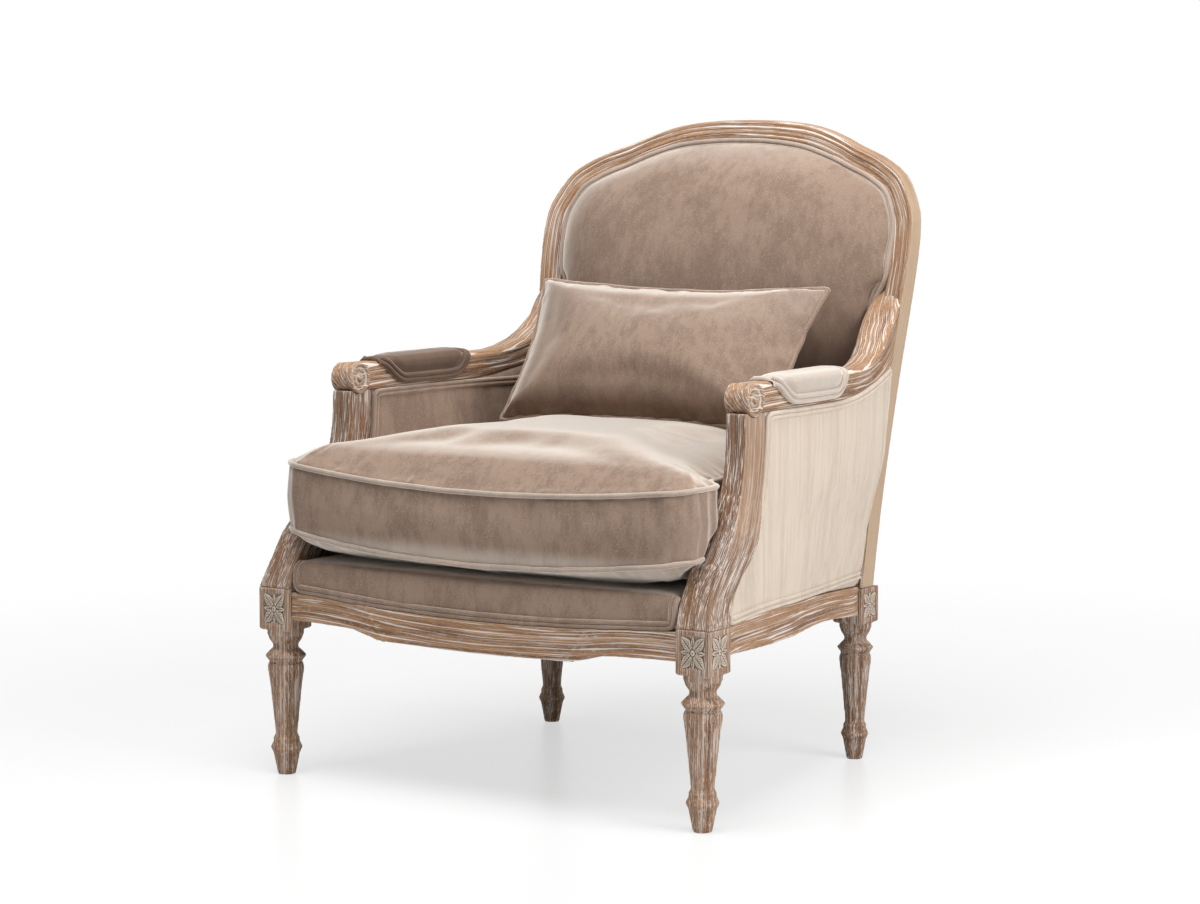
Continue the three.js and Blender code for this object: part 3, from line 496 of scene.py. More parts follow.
def linen(fabric):
    """Plain weave with slubs that run up and down the panel."""
    made = Shader("bergere_linen")
    place = made.place()
    slubs = made.noise(place, (170, 170, 3.5), 3.0, 0.6)
    broad = made.noise(place, (42, 42, 2.0), 2.0, 0.5)
    warp = made.noise(place, (1500, 1500, 60), 1.0, 0.5)
    weft = made.noise(place, (60, 60, 1500), 1.0, 0.5)
    share = slubs * 0.6 + broad * 0.4
    colour = made.blended(fabric.linen_dark, fabric.linen, share.between(0.38, 0.58))
    colour = made.blended(colour, fabric.linen_pale, warp.between(0.52, 0.7) * 0.4)
    return made.finish(colour, weft * 0.15 + 0.8, warp * 0.45 + weft * 0.35 + slubs * 0.6,
                       fabric.weave_bump, Sheen_Weight=0.25, Sheen_Roughness=0.5,
                       Specular_IOR_Level=0.15)


def dust_cloth():
    """Thin black non-woven cloth under the seat."""
    made = Shader("bergere_dust_cloth")
    place = made.place()
    fibres = made.noise(place, 700.0, 3.0, 0.7)
    colour = made.blended((0.012, 0.011, 0.010), (0.035, 0.032, 0.030),
                          fibres.between(0.4, 0.65))
    return made.finish(colour, fibres * 0.1 + 0.85, fibres, 0.2)


# Settings


def length(name, description, default):
    return FloatProperty(name=name, description=description, default=default, min=0,
                         unit="LENGTH", precision=5)


def share(name, description, default):
    return FloatProperty(name=name, description=description, default=default, min=0, max=1)


def amount(name, description, default):
    return FloatProperty(name=name, description=description, default=default, min=0)


def number(name, description, default, lowest=0):
    return IntProperty(name=name, description=description, default=default, min=lowest)


def point(name, description, default):
    return FloatVectorProperty(name=name, description=description, default=default,
                               subtype="TRANSLATION")


def colour(name, description, default):
    return FloatVectorProperty(name=name, description=description, default=default,
                               subtype="COLOR", size=3, min=0, max=1)


class BergereWood(bpy.types.PropertyGroup):
    """Show-wood: its colours, its grain and how much lime is left in it."""

    honey: colour("Honey", "Colour of the rubbed wood", (0.38, 0.203, 0.095))
    dark: colour("Dark", "Colour of the darker grain and grooves", (0.155, 0.075, 0.036))
    blond: colour("Blond", "Colour where wear has bleached the wood", (0.47, 0.335, 0.225))
    lime: colour("Lime", "Colour of the lime in the grooves", (0.84, 0.79, 0.74))
    carved: colour("Carving", "Colour of the limed carving", (0.60, 0.51, 0.42))
    # Colour of the painted shade in the hollows of the carving
    carving_painted_shade: colour("Carving, dark", "Colour of its hollows", (0.10, 0.062, 0.038))
    inner: colour("Inner wood", "Pale figure of the hidden wood", (0.46, 0.31, 0.17))
    inner_dark: colour("Inner wood, dark", "Dark figure of the hidden wood", (0.33, 0.20, 0.10))
    spacing: length("Line spacing", "Gap between the broad limed lines", 0.0066)
    line_width: length("Line width", "Usual width of a limed line", 0.0008)
    sway: length("Sway", "How far the limed lines wander", 0.013)
    line_lime: share("Line lime", "How much lime the open grain holds", 0.85)
    pore_lime: share("Pore lime", "How much lime the pores hold", 0.35)
    groove_start: share("Groove start", "Hollow at which lime begins, in millimetres", 0.28)
    groove_full: share("Groove full", "Hollow that is full of lime, in millimetres", 0.42)
    groove_broken: share("Broken lime", "How unevenly the grooves hold lime, in millimetres", 0.5)
    bump: amount("Grain depth", "Depth of the fine grain, in millimetres", 0.6)
    voxel: length("Face size", "Size of a face of the dressed wood", 0.0014)
    join: length("Join", "How far solids that are joined are grown", 0.00025)
    brush: length("Brushing", "Depth of the wire-brushed grain", 0.0003)
    carving: length("Carving", "Height of the carved flowers", 0.0026)
    carving_step: length("Carving step", "Size of a face of the carving", 0.0006)


class BergereFabric(bpy.types.PropertyGroup):
    """Velvet and linen: their colours, and the colours of the velvet's painted highlight and
    painted shade.
    """

    velvet: colour("Velvet", "Colour of the velvet", (0.33, 0.235, 0.179))
    velvet_dark: colour("Velvet, dark", "Where the pile lies away", (0.25, 0.174, 0.131))
    # Colour of the painted shade on the velvet
    velvet_painted_shade: colour("Velvet, deep", "Where the pile is brushed to the dark",
                        (0.085, 0.052, 0.036))
    # Colour of the painted highlight and painted sheen on the velvet
    velvet_painted_highlight: colour("Velvet, at a glance", "Colour of the sides of the pile",
                          (0.82, 0.75, 0.675))
    # How strongly the painted sheen shows at a glance
    glance: share("Glance", "How far the sides of the pile show at a glance", 0.9)
    velvet_pale: colour("Velvet, pale", "Pale flecks in the pile", (0.43, 0.33, 0.26))
    sheen_tint: colour("Sheen", "Colour of the pile seen at a glance", (1.0, 0.93, 0.86))
    sheen: share("Sheen amount", "Strength of the pile's sheen", 1.0)
    sheen_roughness: share("Sheen spread", "Roughness of the pile's sheen", 0.30)
    linen: colour("Linen", "Colour of the linen", (0.66, 0.555, 0.455))
    linen_dark: colour("Linen, dark", "Its darker slubs", (0.58, 0.475, 0.385))
    linen_pale: colour("Linen, pale", "Its pale threads", (0.74, 0.65, 0.56))
    pile_bump: amount("Pile", "Height of the pile, in millimetres", 0.35)
    weave_bump: amount("Weave", "Height of the weave, in millimetres", 0.4)
    welt_radius: length("Welt radius", "Radius of one cord of a double welt", 0.0031)
    border_radius: length("Border radius", "Radius of one cord of an arm pad's border", 0.0036)
    pleat: length("Pleats", "Depth of the folds in the linen", 0.0009)
    puff: length("Puff", "How far an arm pad swells inside its border", 0.0036)


class BergereFilling(bpy.types.PropertyGroup):
    """How the loose cushions are filled."""

    voxel: length("Face size", "Size of a face of a cushion before it is made finer", 0.0055)
    shrink: length("Start size", "How far the cushion starts inside its full shape", 0.010)
    seam_hold: length("Seam hold", "How far from a seam the cloth is still held by it", 0.008)
    cap: length("Most movement", "How far the filling may push the cloth", 0.010)
    clearance: length("Clearance", "Least gap from the cushion to its neighbours", 0.0006)
    cord: length("Cord", "Radius of the seat cushion's piping", 0.0038)
    pillow_cord: length("Pillow cord", "Radius of the pillow's piping", 0.0042)
    pressure: amount("Pressure", "How hard the filling pushes", 4.0)
    bending: amount("Stiffness", "How hard the cloth is to bend", 3.0)
    gathers: amount("Gathers", "Gathers in a metre of seam", 90.0)
    gather_depth: length("Gather depth", "Depth of the gathers beside a seam", 0.0035)
    crease: length("Creases", "Depth of the folds at the seat cushion's front corners", 0.0024)
    plump: length("Plumpness", "How far the pillow swells beyond its solid", 0.004)
    spare: share("Spare cloth", "How much larger the cloth is than its shape", 0.008)
    evened: number("Evened", "How often the filled shape is evened out", 14)
    frames: number("Steps", "Steps of the simulation", 20, lowest=2)


class BergereStage(bpy.types.PropertyGroup):
    """Camera and studio."""

    eye: point("Eye", "Where the camera stands", (2.6763, -4.0524, 0.9563))
    aim: point("Aim", "What the camera looks at", (-0.0724, 0.0524, 0.4529))
    focal: amount("Focal length", "In millimetres on a 36 mm sensor", 99.7)
    key: amount("Key", "Power of the right-hand softbox, in watts", 76.0)
    top: amount("Top", "Power of the overhead softbox, in watts", 97.0)
    fill: amount("Fill", "Power of the left-hand fill, in watts", 3.0)
    ambient: share("Ambient", "Strength of the studio's own light", 0.12)
    floor: share("Floor", "How pale the floor is", 0.88)


# Show-wood

BLOCK_TOP = 0.259  # top of a rear leg block, where the back's outline starts
BANDS = 60  # in how many bands along a piece its middle is found, for its grain to follow
# Cells of noise in a metre along the grain and in one across it, for the brushed grain's lines,
# for the patches that have them, and for what is uneven all over
LINE_CELLS, PATCH_CELLS, UNEVEN_CELLS = (9, 240, 240), (14, 45, 45), (25, 90, 90)
ARM_END_SUNK = 0.009  # how far the top of an arm runs out into the face of the stile
ARM_END = (0.650, 0.697)  # the heights between which the arm does so
FRONTAL = (0.25, 0.6)  # how far a face turns to the front before carving begins, and is full
REED_TIPS = 0.352  # height of the leaf tips on an arm post, where its lower reeds begin
REED_WIDTH = 0.0125
KNUCKLE = (0.178, 0.243)  # the middle of a front rail's knuckle: out from the centre, and up
SCROLL_MIDDLE = (-0.2092, 0.570)  # the middle of an arm's front scroll: back, and up
# The radius and the height of each ring of the scroll's face, from its rim inwards
SCROLL_RINGS = ((0.0198, 0.0012), (0.0152, -0.0010), (0.0112, 0.0012), (0.0075, -0.0008))


def back_outline(step):
    """The back frame's outer edge in x and z, from the right leg block over to the left one."""
    right = [
        (x * BACK_HALF_WIDTH, BLOCK_TOP + up * (BACK_TOP - BLOCK_TOP))
        for x, up in BACK_OUTLINE_SHARES
    ]
    left = [(-x, z) for x, z in reversed(right[:-1])]
    return smooth_path(right + left, step)


def grain_along(axis):
    """Grain that runs along one axis and follows the middle of the piece, however it bends."""

    def found(places):
        along = places[:, axis]
        bins = np.linspace(along.min(), along.max() + 1e-6, BANDS + 1)
        index = np.searchsorted(bins, along, side="right") - 1
        centres = (bins[1:] + bins[:-1]) / 2
        columns = [along]
        for other in (i for i in range(3) if i != axis):
            low = np.full(BANDS, np.inf)
            high = np.full(BANDS, -np.inf)
            np.minimum.at(low, index, places[:, other])
            np.maximum.at(high, index, places[:, other])
            full = np.isfinite(low)
            middle = np.interp(centres, centres[full], ((low + high) / 2)[full])
            middle = np.convolve(np.pad(middle, 3, "edge"), np.ones(7) / 7, "valid")
            columns.append(places[:, other] - np.interp(along, centres, middle))
        return np.column_stack(columns)

    return found


def grain_round_back(places):
    """Grain that follows the outline of the back."""
    line = back_outline(0.004)
    across, nearest = distance_to(places[:, [0, 2]], line)
    behind = places[:, 1] - back_face_y(places[:, 0], places[:, 2])
    return np.column_stack([lengths_along(line)[nearest], across, behind])


PAIRED_WOOD = {
    "front_leg": grain_along(2),
    "rear_leg": grain_along(2),
    "arm_post": grain_along(2),
    "arm": grain_along(1),
    "side_rail": grain_along(1),
}
SINGLE_WOOD = {
    "front_rail": (("front_rail",), grain_along(0)),
    "back_rail": (("back_rail",), grain_along(0)),
    "back_frame": (("back_post_left", "crest_rail", "back_post_right"), grain_round_back),
}


def hollows(mesh, times):
    """How far each corner lies below its surroundings, in millimetres."""
    places = corners(mesh)
    lift = relaxed(places, edges(mesh), times) - places
    return np.einsum("ij,ij->i", normals(mesh), lift) / MILLIMETRE


def leaf_break(places, facing):
    """A row of leaf tips across the front of an arm post, where its lower reeds begin."""
    front = ramp(-facing[:, 1], *FRONTAL)
    tips = REED_TIPS + 0.007 * np.abs(np.sin(places[:, 0] * math.pi / REED_WIDTH))
    below = tips - places[:, 2]
    return front * ramp(below, 0, 0.003) * np.exp(-np.maximum(below, 0) / 0.016) * 0.0018


def rail_knuckle(places, facing):
    """A band of reeds that sweeps down over the front rail where its lower edge steps down."""
    front = ramp(-facing[:, 1], *FRONTAL)
    along = (KNUCKLE[0] - np.abs(places[:, 0])) / 0.022 - (KNUCKLE[1] - places[:, 2]) / 0.030
    band = np.exp(-((along / 0.55) ** 2))
    return front * band * (0.0013 + 0.0007 * np.sin(along * 9))


def scroll_eye(places, facing):
    """A rim, an inner ring and a button on both faces of the scroll that ends an arm."""
    sideways = ramp(np.abs(facing[:, 0]), 0.5, 0.8)
    out = np.hypot(places[:, 1] - SCROLL_MIDDLE[0], places[:, 2] - SCROLL_MIDDLE[1])
    height = 0.0009 * (1 - ramp(out, 0.0040, 0.0062))
    for radius, high in SCROLL_RINGS:
        height += high * np.exp(-(((out - radius) / 0.0016) ** 2))
    return sideways * height * (1 - ramp(out, 0.0215, 0.0235))


CARVED = {"arm_post": leaf_break, "front_rail": rail_knuckle, "arm": scroll_eye}
# How dense the open grain of each kind of piece is. The rear legs' value, higher than the front
# legs', is partly painted shade that darkens them as if in shadow.
DENSE = {"arm_post": 0.95, "front_leg": 0.5, "rear_leg": 0.78, "arm": 0.15, "back_frame": 0.15}
DENSE_ELSEWHERE = 0.1
POST_RUBBED = 0.52  # how bare the outer face of an arm post is rubbed above its reeds
CREST_RUBBED = 0.4  # how bare the crest's edge is, as a share of how bare the back's sides are


def face_kinds(stem, places, facing, fibre):
    """For each corner: how dense its grain is, how far it is rubbed bare, and 0 for not carved."""
    dense = np.full(len(places), DENSE.get(stem, DENSE_ELSEWHERE))
    rubbed = np.zeros(len(places))
    outwards = ramp(facing[:, 0] * np.sign(places[:, 0]), 0.6, 0.85)
    if stem == "arm_post":
        rubbed = outwards * ramp(places[:, 2], 0.36, 0.41) * POST_RUBBED
    if stem == "back_frame":
        edge = 1 - ramp(fibre[:, 1], 0.006, 0.012)
        rubbed = edge * (1 - ramp(np.abs(facing[:, 1]), 0.5, 0.75))
        rubbed *= 1 - (1 - CREST_RUBBED) * ramp(places[:, 2], 0.80, 0.90)
    return np.column_stack([dense * (1 - rubbed), rubbed, np.zeros(len(places))])


def dress_wood(stem, name, nodes, grain, wood, seed):
    """Rounds the solid's edges a little, brushes out its grain and measures its hollows."""
    piece = remeshed_copy(nodes, name + "_oak", wood.voxel, 1, wood.join if len(nodes) > 1 else 0)
    mesh = piece.data
    places = corners(mesh)
    fibre = grain(places)
    if stem == "arm":
        places[:, 1] += ARM_END_SUNK * ramp(places[:, 2], *ARM_END)
        set_corners(mesh, places)
    facing = normals(mesh)
    if stem in CARVED:
        places += facing * CARVED[stem](places, facing)[:, None]
        set_corners(mesh, places)
        facing = normals(mesh)
    plain = 1 - ramp(np.abs(hollows(mesh, 3)), 0.06, 0.22)
    lines = np.abs(lattice_noise(fibre * LINE_CELLS, seed))
    patches = lattice_noise(fibre * PATCH_CELLS, seed + 1)
    grooves = (1 - ramp(lines, 0.0, 0.25)) * ramp(patches, -0.5, 0.4)
    uneven = lattice_noise(fibre * UNEVEN_CELLS, seed + 2) * 0.25
    places -= facing * ((grooves * plain + uneven) * wood.brush)[:, None]
    set_corners(mesh, places)
    store(mesh, "grain", fibre)
    store(mesh, "cavity", hollows(mesh, 8))
    store(mesh, "kind", face_kinds(stem, places, facing, fibre))
    return finish_piece(piece, "limed_oak", nodes=nodes)


# Carved squares

# Leg blocks: the leg's place, half the block's side, the sunk square's half sizes and middle
# height, and -1 where the carved face is the front one or 1 where it is the rear one
LEG_BLOCKS = {
    "front_leg": ((0.357, -PLAN_SHIFT), 0.027, 0.0195, 0.02275, 0.24475, -1),
    "rear_leg": ((0.274, 0.559 - PLAN_SHIFT), 0.025, 0.0175, 0.01875, 0.23275, 1),
}
PANEL_DEPTH = 0.002  # how deep the squares are sunk
PANEL_THICKNESS = 0.3 * MILLIMETRE
FLOWER_LIFT = 0.2 * MILLIMETRE  # the flower's ground stands this far off the square
RIM_SUNK = 0.4 * MILLIMETRE  # and its rim ends this far below it
# The flower's leaves, in halves of its square: start, end, width, turn and height
FLOWER_LEAVES = ((0.16, 0.98, 0.17, 0.0, 0.65), (0.14, 1.28, 0.36, math.pi / 4, 0.95))


def leaf_height(along, across, start, end, width):
    """The height, 0 to 1, of a carved leaf that points along, with a vein down its middle."""
    part = np.clip((along - start) / (end - start), 0, 1)
    half = width * np.sin(math.pi * part**0.85) ** 0.7 + 1e-4
    body = np.sqrt(np.clip(1 - (across / half) ** 2, 0, 1))
    vein = np.exp(-((across / 0.035) ** 2))
    ribs = 0.12 * np.sin((np.abs(across) * 1.3 - along) * 38)
    return body * (0.9 + ribs) - 0.45 * vein * (body > 0)


def flower_height(u, v):
    """The height, 0 to 1, of the carved flower: four broad petals towards the corners, four leaves
    between them and a boss in the middle."""
    found = np.zeros_like(u)
    for turn in range(4):
        for start, end, width, angle, high in FLOWER_LEAVES:
            way = turn * math.pi / 2 + angle
            along = u * math.cos(way) + v * math.sin(way)
            across = v * math.cos(way) - u * math.sin(way)
            found = np.maximum(found, high * leaf_height(along, across, start, end, width))
    out = np.hypot(u, v)
    boss = np.sqrt(np.clip(1 - (out / 0.21) ** 2, 0, 1)) - 0.4 * np.exp(-((out / 0.06) ** 2))
    return np.where(out < 0.24, np.maximum(boss, 0.05), found)


def carved_square(name, middle, right, outwards, half_width, half_height, wood):
    """A carved flower that fills a sunk square of a leg block."""
    count = 2 * int(round(half_width / wood.carving_step)) + 1
    rows = 2 * int(round(half_height / wood.carving_step)) + 1
    u, v = np.meshgrid(np.linspace(-1, 1, count), np.linspace(-1, 1, rows))
    flower = flower_height(u.ravel(), v.ravel()) * wood.carving
    rim = np.minimum(1 - np.abs(u), 1 - np.abs(v)).ravel() > 1e-6
    height = np.where(rim, flower + FLOWER_LIFT, -RIM_SUNK)
    right, outwards = np.array(right, float), np.array(outwards, float)
    places = (np.array(middle) + u.ravel()[:, None] * right * half_width
              + v.ravel()[:, None] * np.array((0, 0, half_height))
              + height[:, None] * outwards)
    faces = []
    for row in range(rows - 1):
        for column in range(count - 1):
            first = row * count + column
            faces.append((first, first + 1, first + count + 1, first + count))
    if np.dot(np.cross(right, (0, 0, 1)), outwards) < 0:
        faces = [face[::-1] for face in faces]
    piece = new_object(name, mesh_from(name, places, faces))
    mesh = thickened(piece, PANEL_THICKNESS, -1)
    store(mesh, "grain", corners(mesh)[:, [2, 0, 1]])
    store(mesh, "cavity", hollows(mesh, 10))
    store(mesh, "kind", np.tile((0.0, 0.0, 1.0), (len(mesh.vertices), 1)))
    return finish_piece(piece, "limed_oak")


# Sewn and stuffed pieces


def unit(rows):
    return rows / np.linalg.norm(rows, axis=1, keepdims=True).clip(1e-9)


def tangents(path, closed):
    if closed:
        return unit(np.roll(path, -1, axis=0) - np.roll(path, 1, axis=0))
    return unit(np.gradient(path, axis=0))


def swept(name, path, ups, profile, closed=False):
    """A mesh that carries a closed profile along a path. The profile's first number runs across
    the path and its second one along the ups."""
    path = np.asarray(path, float)
    along = tangents(path, closed)
    across = unit(np.cross(along, ups))
    rise = np.cross(across, along)
    profile = np.asarray(profile, float)
    rings = (path[:, None] + across[:, None] * profile[None, :, :1]
             + rise[:, None] * profile[None, :, 1:2])
    count, size = rings.shape[:2]
    places = list(rings.reshape(-1, 3))
    faces = []
    for i in range(count if closed else count - 1):
        j = (i + 1) % count
        for k in range(size):
            m = (k + 1) % size
            faces.append((i * size + k, i * size + m, j * size + m, j * size + k))
    if not closed:
        for ring, order in ((0, 1), (count - 1, -1)):
            places.append(rings[ring].mean(axis=0) - along[ring] * order * 0.0015)
            tip = len(places) - 1
            for k in range(size):
                a, b = ring * size + k, ring * size + (k + 1) % size
                faces.append((a, tip, b) if order > 0 else (b, tip, a))
    return mesh_from(name, places, faces)


def cord_profile(radius, sides=10):
    """A round cord, listed so that its faces look outwards."""
    turns = np.arange(sides) / sides * 2 * math.pi
    return np.column_stack([np.cos(turns), -np.sin(turns)]) * radius


def twin_profile(radius, sides=7):
    """Two cords side by side, as a double welt is sewn, with a flat back."""
    arc = np.linspace(0, math.pi, sides)
    one = np.column_stack([-np.cos(arc), np.sin(arc)]) * radius
    left = one - (radius, 0)
    right = one[1:] + (radius, 0)
    back = [(2 * radius, -0.8 * radius), (-2 * radius, -0.8 * radius)]
    return np.vstack([left, right, back])


def laid_on(path, tree, lift):
    """The path moved to the nearest places on a surface, lifted, and the surface's directions."""
    places, ups = [], []
    for point in path:
        place, up, _, _ = tree.find_nearest(Vector(point))
        places.append(np.array(place) + np.array(up) * lift)
        ups.append(np.array(up))
    return np.array(places), np.array(ups)


def softened(rows, times=4, closed=False):
    """Rows evened out along a path, with its ends held."""
    rows = np.asarray(rows, float).copy()
    for _ in range(times):
        if closed:
            rows = 0.5 * rows + 0.25 * (np.roll(rows, 1, axis=0) + np.roll(rows, -1, axis=0))
        else:
            rows[1:-1] = 0.5 * rows[1:-1] + 0.25 * (rows[2:] + rows[:-2])
    return rows


def welt(name, path, ups, profile, slot, body="frame", closed=False):
    """A sewn edge as its own piece, in the fabric that it is covered with."""
    piece = new_object(name, swept(name, path, ups, profile, closed))
    return finish_piece(piece, slot, body)


def kept_clear(places, trees, gap):
    """The places moved out of the solids that the trees hold, to at least a gap from them."""
    for tree in trees:
        for i, place in enumerate(places):
            near, up, _, _ = tree.find_nearest(Vector(place), 0.025)
            if near is None:
                continue
            inside = gap - (Vector(place) - near).dot(up)
            if inside > 0:
                places[i] = place + np.array(up) * inside
    return places


def stuffed(piece, seams, settings, seed, clear_of=()):
    """Fills the piece as a cushion is filled: it is blown up as cloth, held along its seams, with
    a little spare cloth that wrinkles beside them."""
    mesh = piece.data
    before = corners(mesh)
    near = np.full(len(before), np.inf)
    gathers = np.zeros(len(before))
    for number, seam in enumerate(seams):
        gaps, nearest = distance_to(before, seam)
        lengths = np.linalg.norm(seam - np.roll(seam, 1, axis=0), axis=1).cumsum()
        at = np.column_stack([lengths[nearest] * settings.gathers, gaps * 9,
                              np.full(len(gaps), 7.3 * number)])
        crease = lattice_noise(at, seed + 3) * ramp(gaps, 0.001, 0.007) * np.exp(-gaps / 0.022)
        gathers = np.where(gaps < near, crease, gathers)
        near = np.minimum(near, gaps)
    held = np.exp(-((near / settings.seam_hold) ** 2))
    rough = lattice_noise(before * 20, seed) * 0.0016
    moved = np.zeros_like(before)
    raised(mesh, rough - settings.shrink * (1 - held))
    group = piece.vertex_groups.new(name="held")
    for i in np.flatnonzero(held > 0.02):
        group.add([int(i)], float(held[i]), "REPLACE")
    cloth = piece.modifiers.new("filling", "CLOTH")
    for name, value in CLOTH.items():
        setattr(cloth.settings, name, value)
    cloth.settings.bending_stiffness = settings.bending
    cloth.settings.uniform_pressure_force = settings.pressure
    cloth.settings.effector_weights.gravity = 0
    cloth.settings.shrink_min = -settings.spare
    cloth.collision_settings.use_collision = False
    cloth.collision_settings.use_self_collision = False
    cloth.point_cache.frame_start = 1
    cloth.point_cache.frame_end = settings.frames
    for step in range(1, settings.frames + 1):
        bpy.context.scene.frame_set(step)
    mesh = baked(piece)
    bpy.context.scene.frame_set(1)
    piece.vertex_groups.clear()
    moved = corners(mesh) - before
    far = np.linalg.norm(moved, axis=1)
    moved *= np.minimum(1, settings.cap / far.clip(1e-9))[:, None]
    moved = relaxed(moved, edges(mesh), settings.evened)
    set_corners(mesh, before + moved)
    gathered = normals(mesh) * (gathers * settings.gather_depth)[:, None]
    places = kept_clear(before + moved + gathered, clear_of, settings.clearance)
    set_corners(mesh, relaxed(places, edges(mesh), 1, 0.3))
    finer = piece.modifiers.new("finer", "SUBSURF")
    finer.levels = 1
    finer.render_levels = 1
    shade_smooth(baked(piece))
    return piece


# Operators


class BERGERE_OT_wood(bpy.types.Operator):
    """Dresses the show-wood in limed oak"""

    bl_idname = "bergere.wood"
    bl_label = "Show-wood"

    def execute(self, context):
        wood = context.scene.bergere_wood
        limed_oak(wood)
        pieces = [(stem, f"{stem}_{side}", (f"{stem}_{side}",), grain)
                  for stem, grain in PAIRED_WOOD.items() for side, _ in SIDES]
        pieces += [(stem, stem, nodes, grain) for stem, (nodes, grain) in SINGLE_WOOD.items()]
        for number, (stem, name, nodes, grain) in enumerate(pieces):
            dress_wood(stem, name, nodes, grain, wood, 11 + 5 * number)
        hidden = plain_hardwood(wood)
        for name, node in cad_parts.items():
            if name == "stay_rail" or "corner_block" in name:
                node.data.materials.clear()
                node.data.materials.append(hidden)
        return {"FINISHED"}


class BERGERE_OT_carving(bpy.types.Operator):
    """Carves the flowers in the sunk squares of the leg blocks"""

    bl_idname = "bergere.carving"
    bl_label = "Carving"

    def execute(self, context):
        wood = context.scene.bergere_wood
        for leg, (place, reach, half_width, half_height, height, way) in LEG_BLOCKS.items():
            face = reach - PANEL_DEPTH
            for side, sign in SIDES:
                x, y = place[0] * sign, place[1]
                carved_square(f"{leg}_flower_{side}", (x, y + way * face, height), (1, 0, 0),
                              (0, way, 0), half_width, half_height, wood)
                carved_square(f"{leg}_outer_flower_{side}", (x + sign * face, y, height),
                              (0, 1, 0), (sign, 0, 0), half_width, half_height, wood)
        return {"FINISHED"}


def even_cover(node, voxel, relax, seed, wrinkle):
    """A fixed cover with the shape of its solid, evened out and a little uneven, as cloth is."""
    piece = remeshed_copy([node], node + "_cover", voxel, relax)
    mesh = piece.data
    places = corners(mesh)
    uneven = lattice_noise(places * 22, seed) + 0.5 * lattice_noise(places * 60, seed + 1)
    raised(mesh, uneven * wrinkle)
    return piece


def pleated(piece, pleat, seed):
    """Soft folds that run down a linen panel, deeper near its top edge."""
    mesh = piece.data
    places = corners(mesh)
    top = ramp(places[:, 2], 0.36, 0.56)
    folds = lattice_noise(places * (60, 60, 2.6), seed)
    fine = lattice_noise(places * (150, 150, 7), seed + 1)
    raised(mesh, (folds + fine * 0.35) * (0.3 + 0.7 * top) * pleat)


# Where the fixed upholstery and its welts lie, in metres in the frame
FRAME_FACE = 0.0320  # how wide the back frame's face is at its sides
CREST_NARROWER = 0.005  # how much narrower it is at the crest
INSIDE_BACK_FROM = 0.6  # the inside back's welt is hidden below this height
OUTSIDE_BACK_FROM = 0.272  # the sides of the outside back's welt start here
OUTSIDE_BACK_FOOT = 0.2652  # height of its run along the bottom
POST_TOP = 0.549
ARM_UNDERSIDE = 0.552
RAIL_TOP = 0.274
SIDE_FROM, SIDE_TO = -0.2, 0.24  # the front and rear of a side, under its arm
INSIDE_SIDE_FOOT = 0.43  # an inside welt starts here, below the seat cushion's crown
# How far out a side's welt is behind the post, at the arm's front, and how much less at its rear
SIDE_WELTS = {"inside": (0.333, 0.328, 0.045), "outside": (0.345, 0.350, 0.033)}
DECK_HALF_WIDTH = 0.3262
DECK_WELT_TOP = 0.322
SIDE_REAR_EDGE = (0.580, 0.2665)  # top and bottom of an outside arm panel's rear edge
DUST_STEP, DUST_SAG, DUST_THICKNESS = 0.012, 0.004, 0.0008
# The fixed pads: the size of their faces, how far they are evened out, and their unevenness
PADS = {
    "inside_back_pad": (0.0045, 24, 0.0007), "seat_deck": (0.0045, 6, 0.0007),
    "inside_arm_pad_right": (0.003, 8, 0.0006), "inside_arm_pad_left": (0.003, 8, 0.0006),
    "arm_pad_right": (0.0015, 6, 0.0002), "arm_pad_left": (0.0015, 6, 0.0002),
}
PANELS = ("outside_back_panel", "outside_arm_panel_right", "outside_arm_panel_left")


def inside_back_line(radius):
    """The middle of the double welt inside the back frame's face, in x and z."""
    line = back_outline(0.006)
    along = unit(np.gradient(line, axis=0))
    inward = np.column_stack([-along[:, 1], along[:, 0]])
    width = FRAME_FACE - CREST_NARROWER * ramp(line[:, 1], 0.72, 0.93) + 2 * radius
    return line + inward * width[:, None]


def inside_back_welt(tree, radius):
    """The double welt round the inside back above the arms. Beside their tops it keeps to the
    pad's edge."""
    line = inside_back_line(radius)
    beside_arm = 0.271 + 0.030 * ramp(line[:, 1], 0.688, 0.725)
    line[:, 0] = np.clip(line[:, 0], -beside_arm, beside_arm)
    path = []
    for x, z in line[line[:, 1] > INSIDE_BACK_FROM]:
        face = back_face_y(x, z) + 0.001
        hit = cast(tree, (x, -0.3, z), BACKWARDS)
        path.append((x, face if hit is None else min(face, hit[1]), z))
    return softened(path, 6)


def outside_back_welt(tree, radius):
    """The double welt round all of the outside back."""
    line = inside_back_line(radius)
    line = line[line[:, 1] > OUTSIDE_BACK_FROM]
    along = np.linspace(line[-1, 0], line[0, 0], 90)[1:-1]
    low = np.column_stack([along, np.full(len(along), OUTSIDE_BACK_FOOT)])
    path = met(tree, [(x, 0.6, z) for x, z in np.vstack([line, low])], FORWARDS)
    return softened(path, 6, True)[::-1]


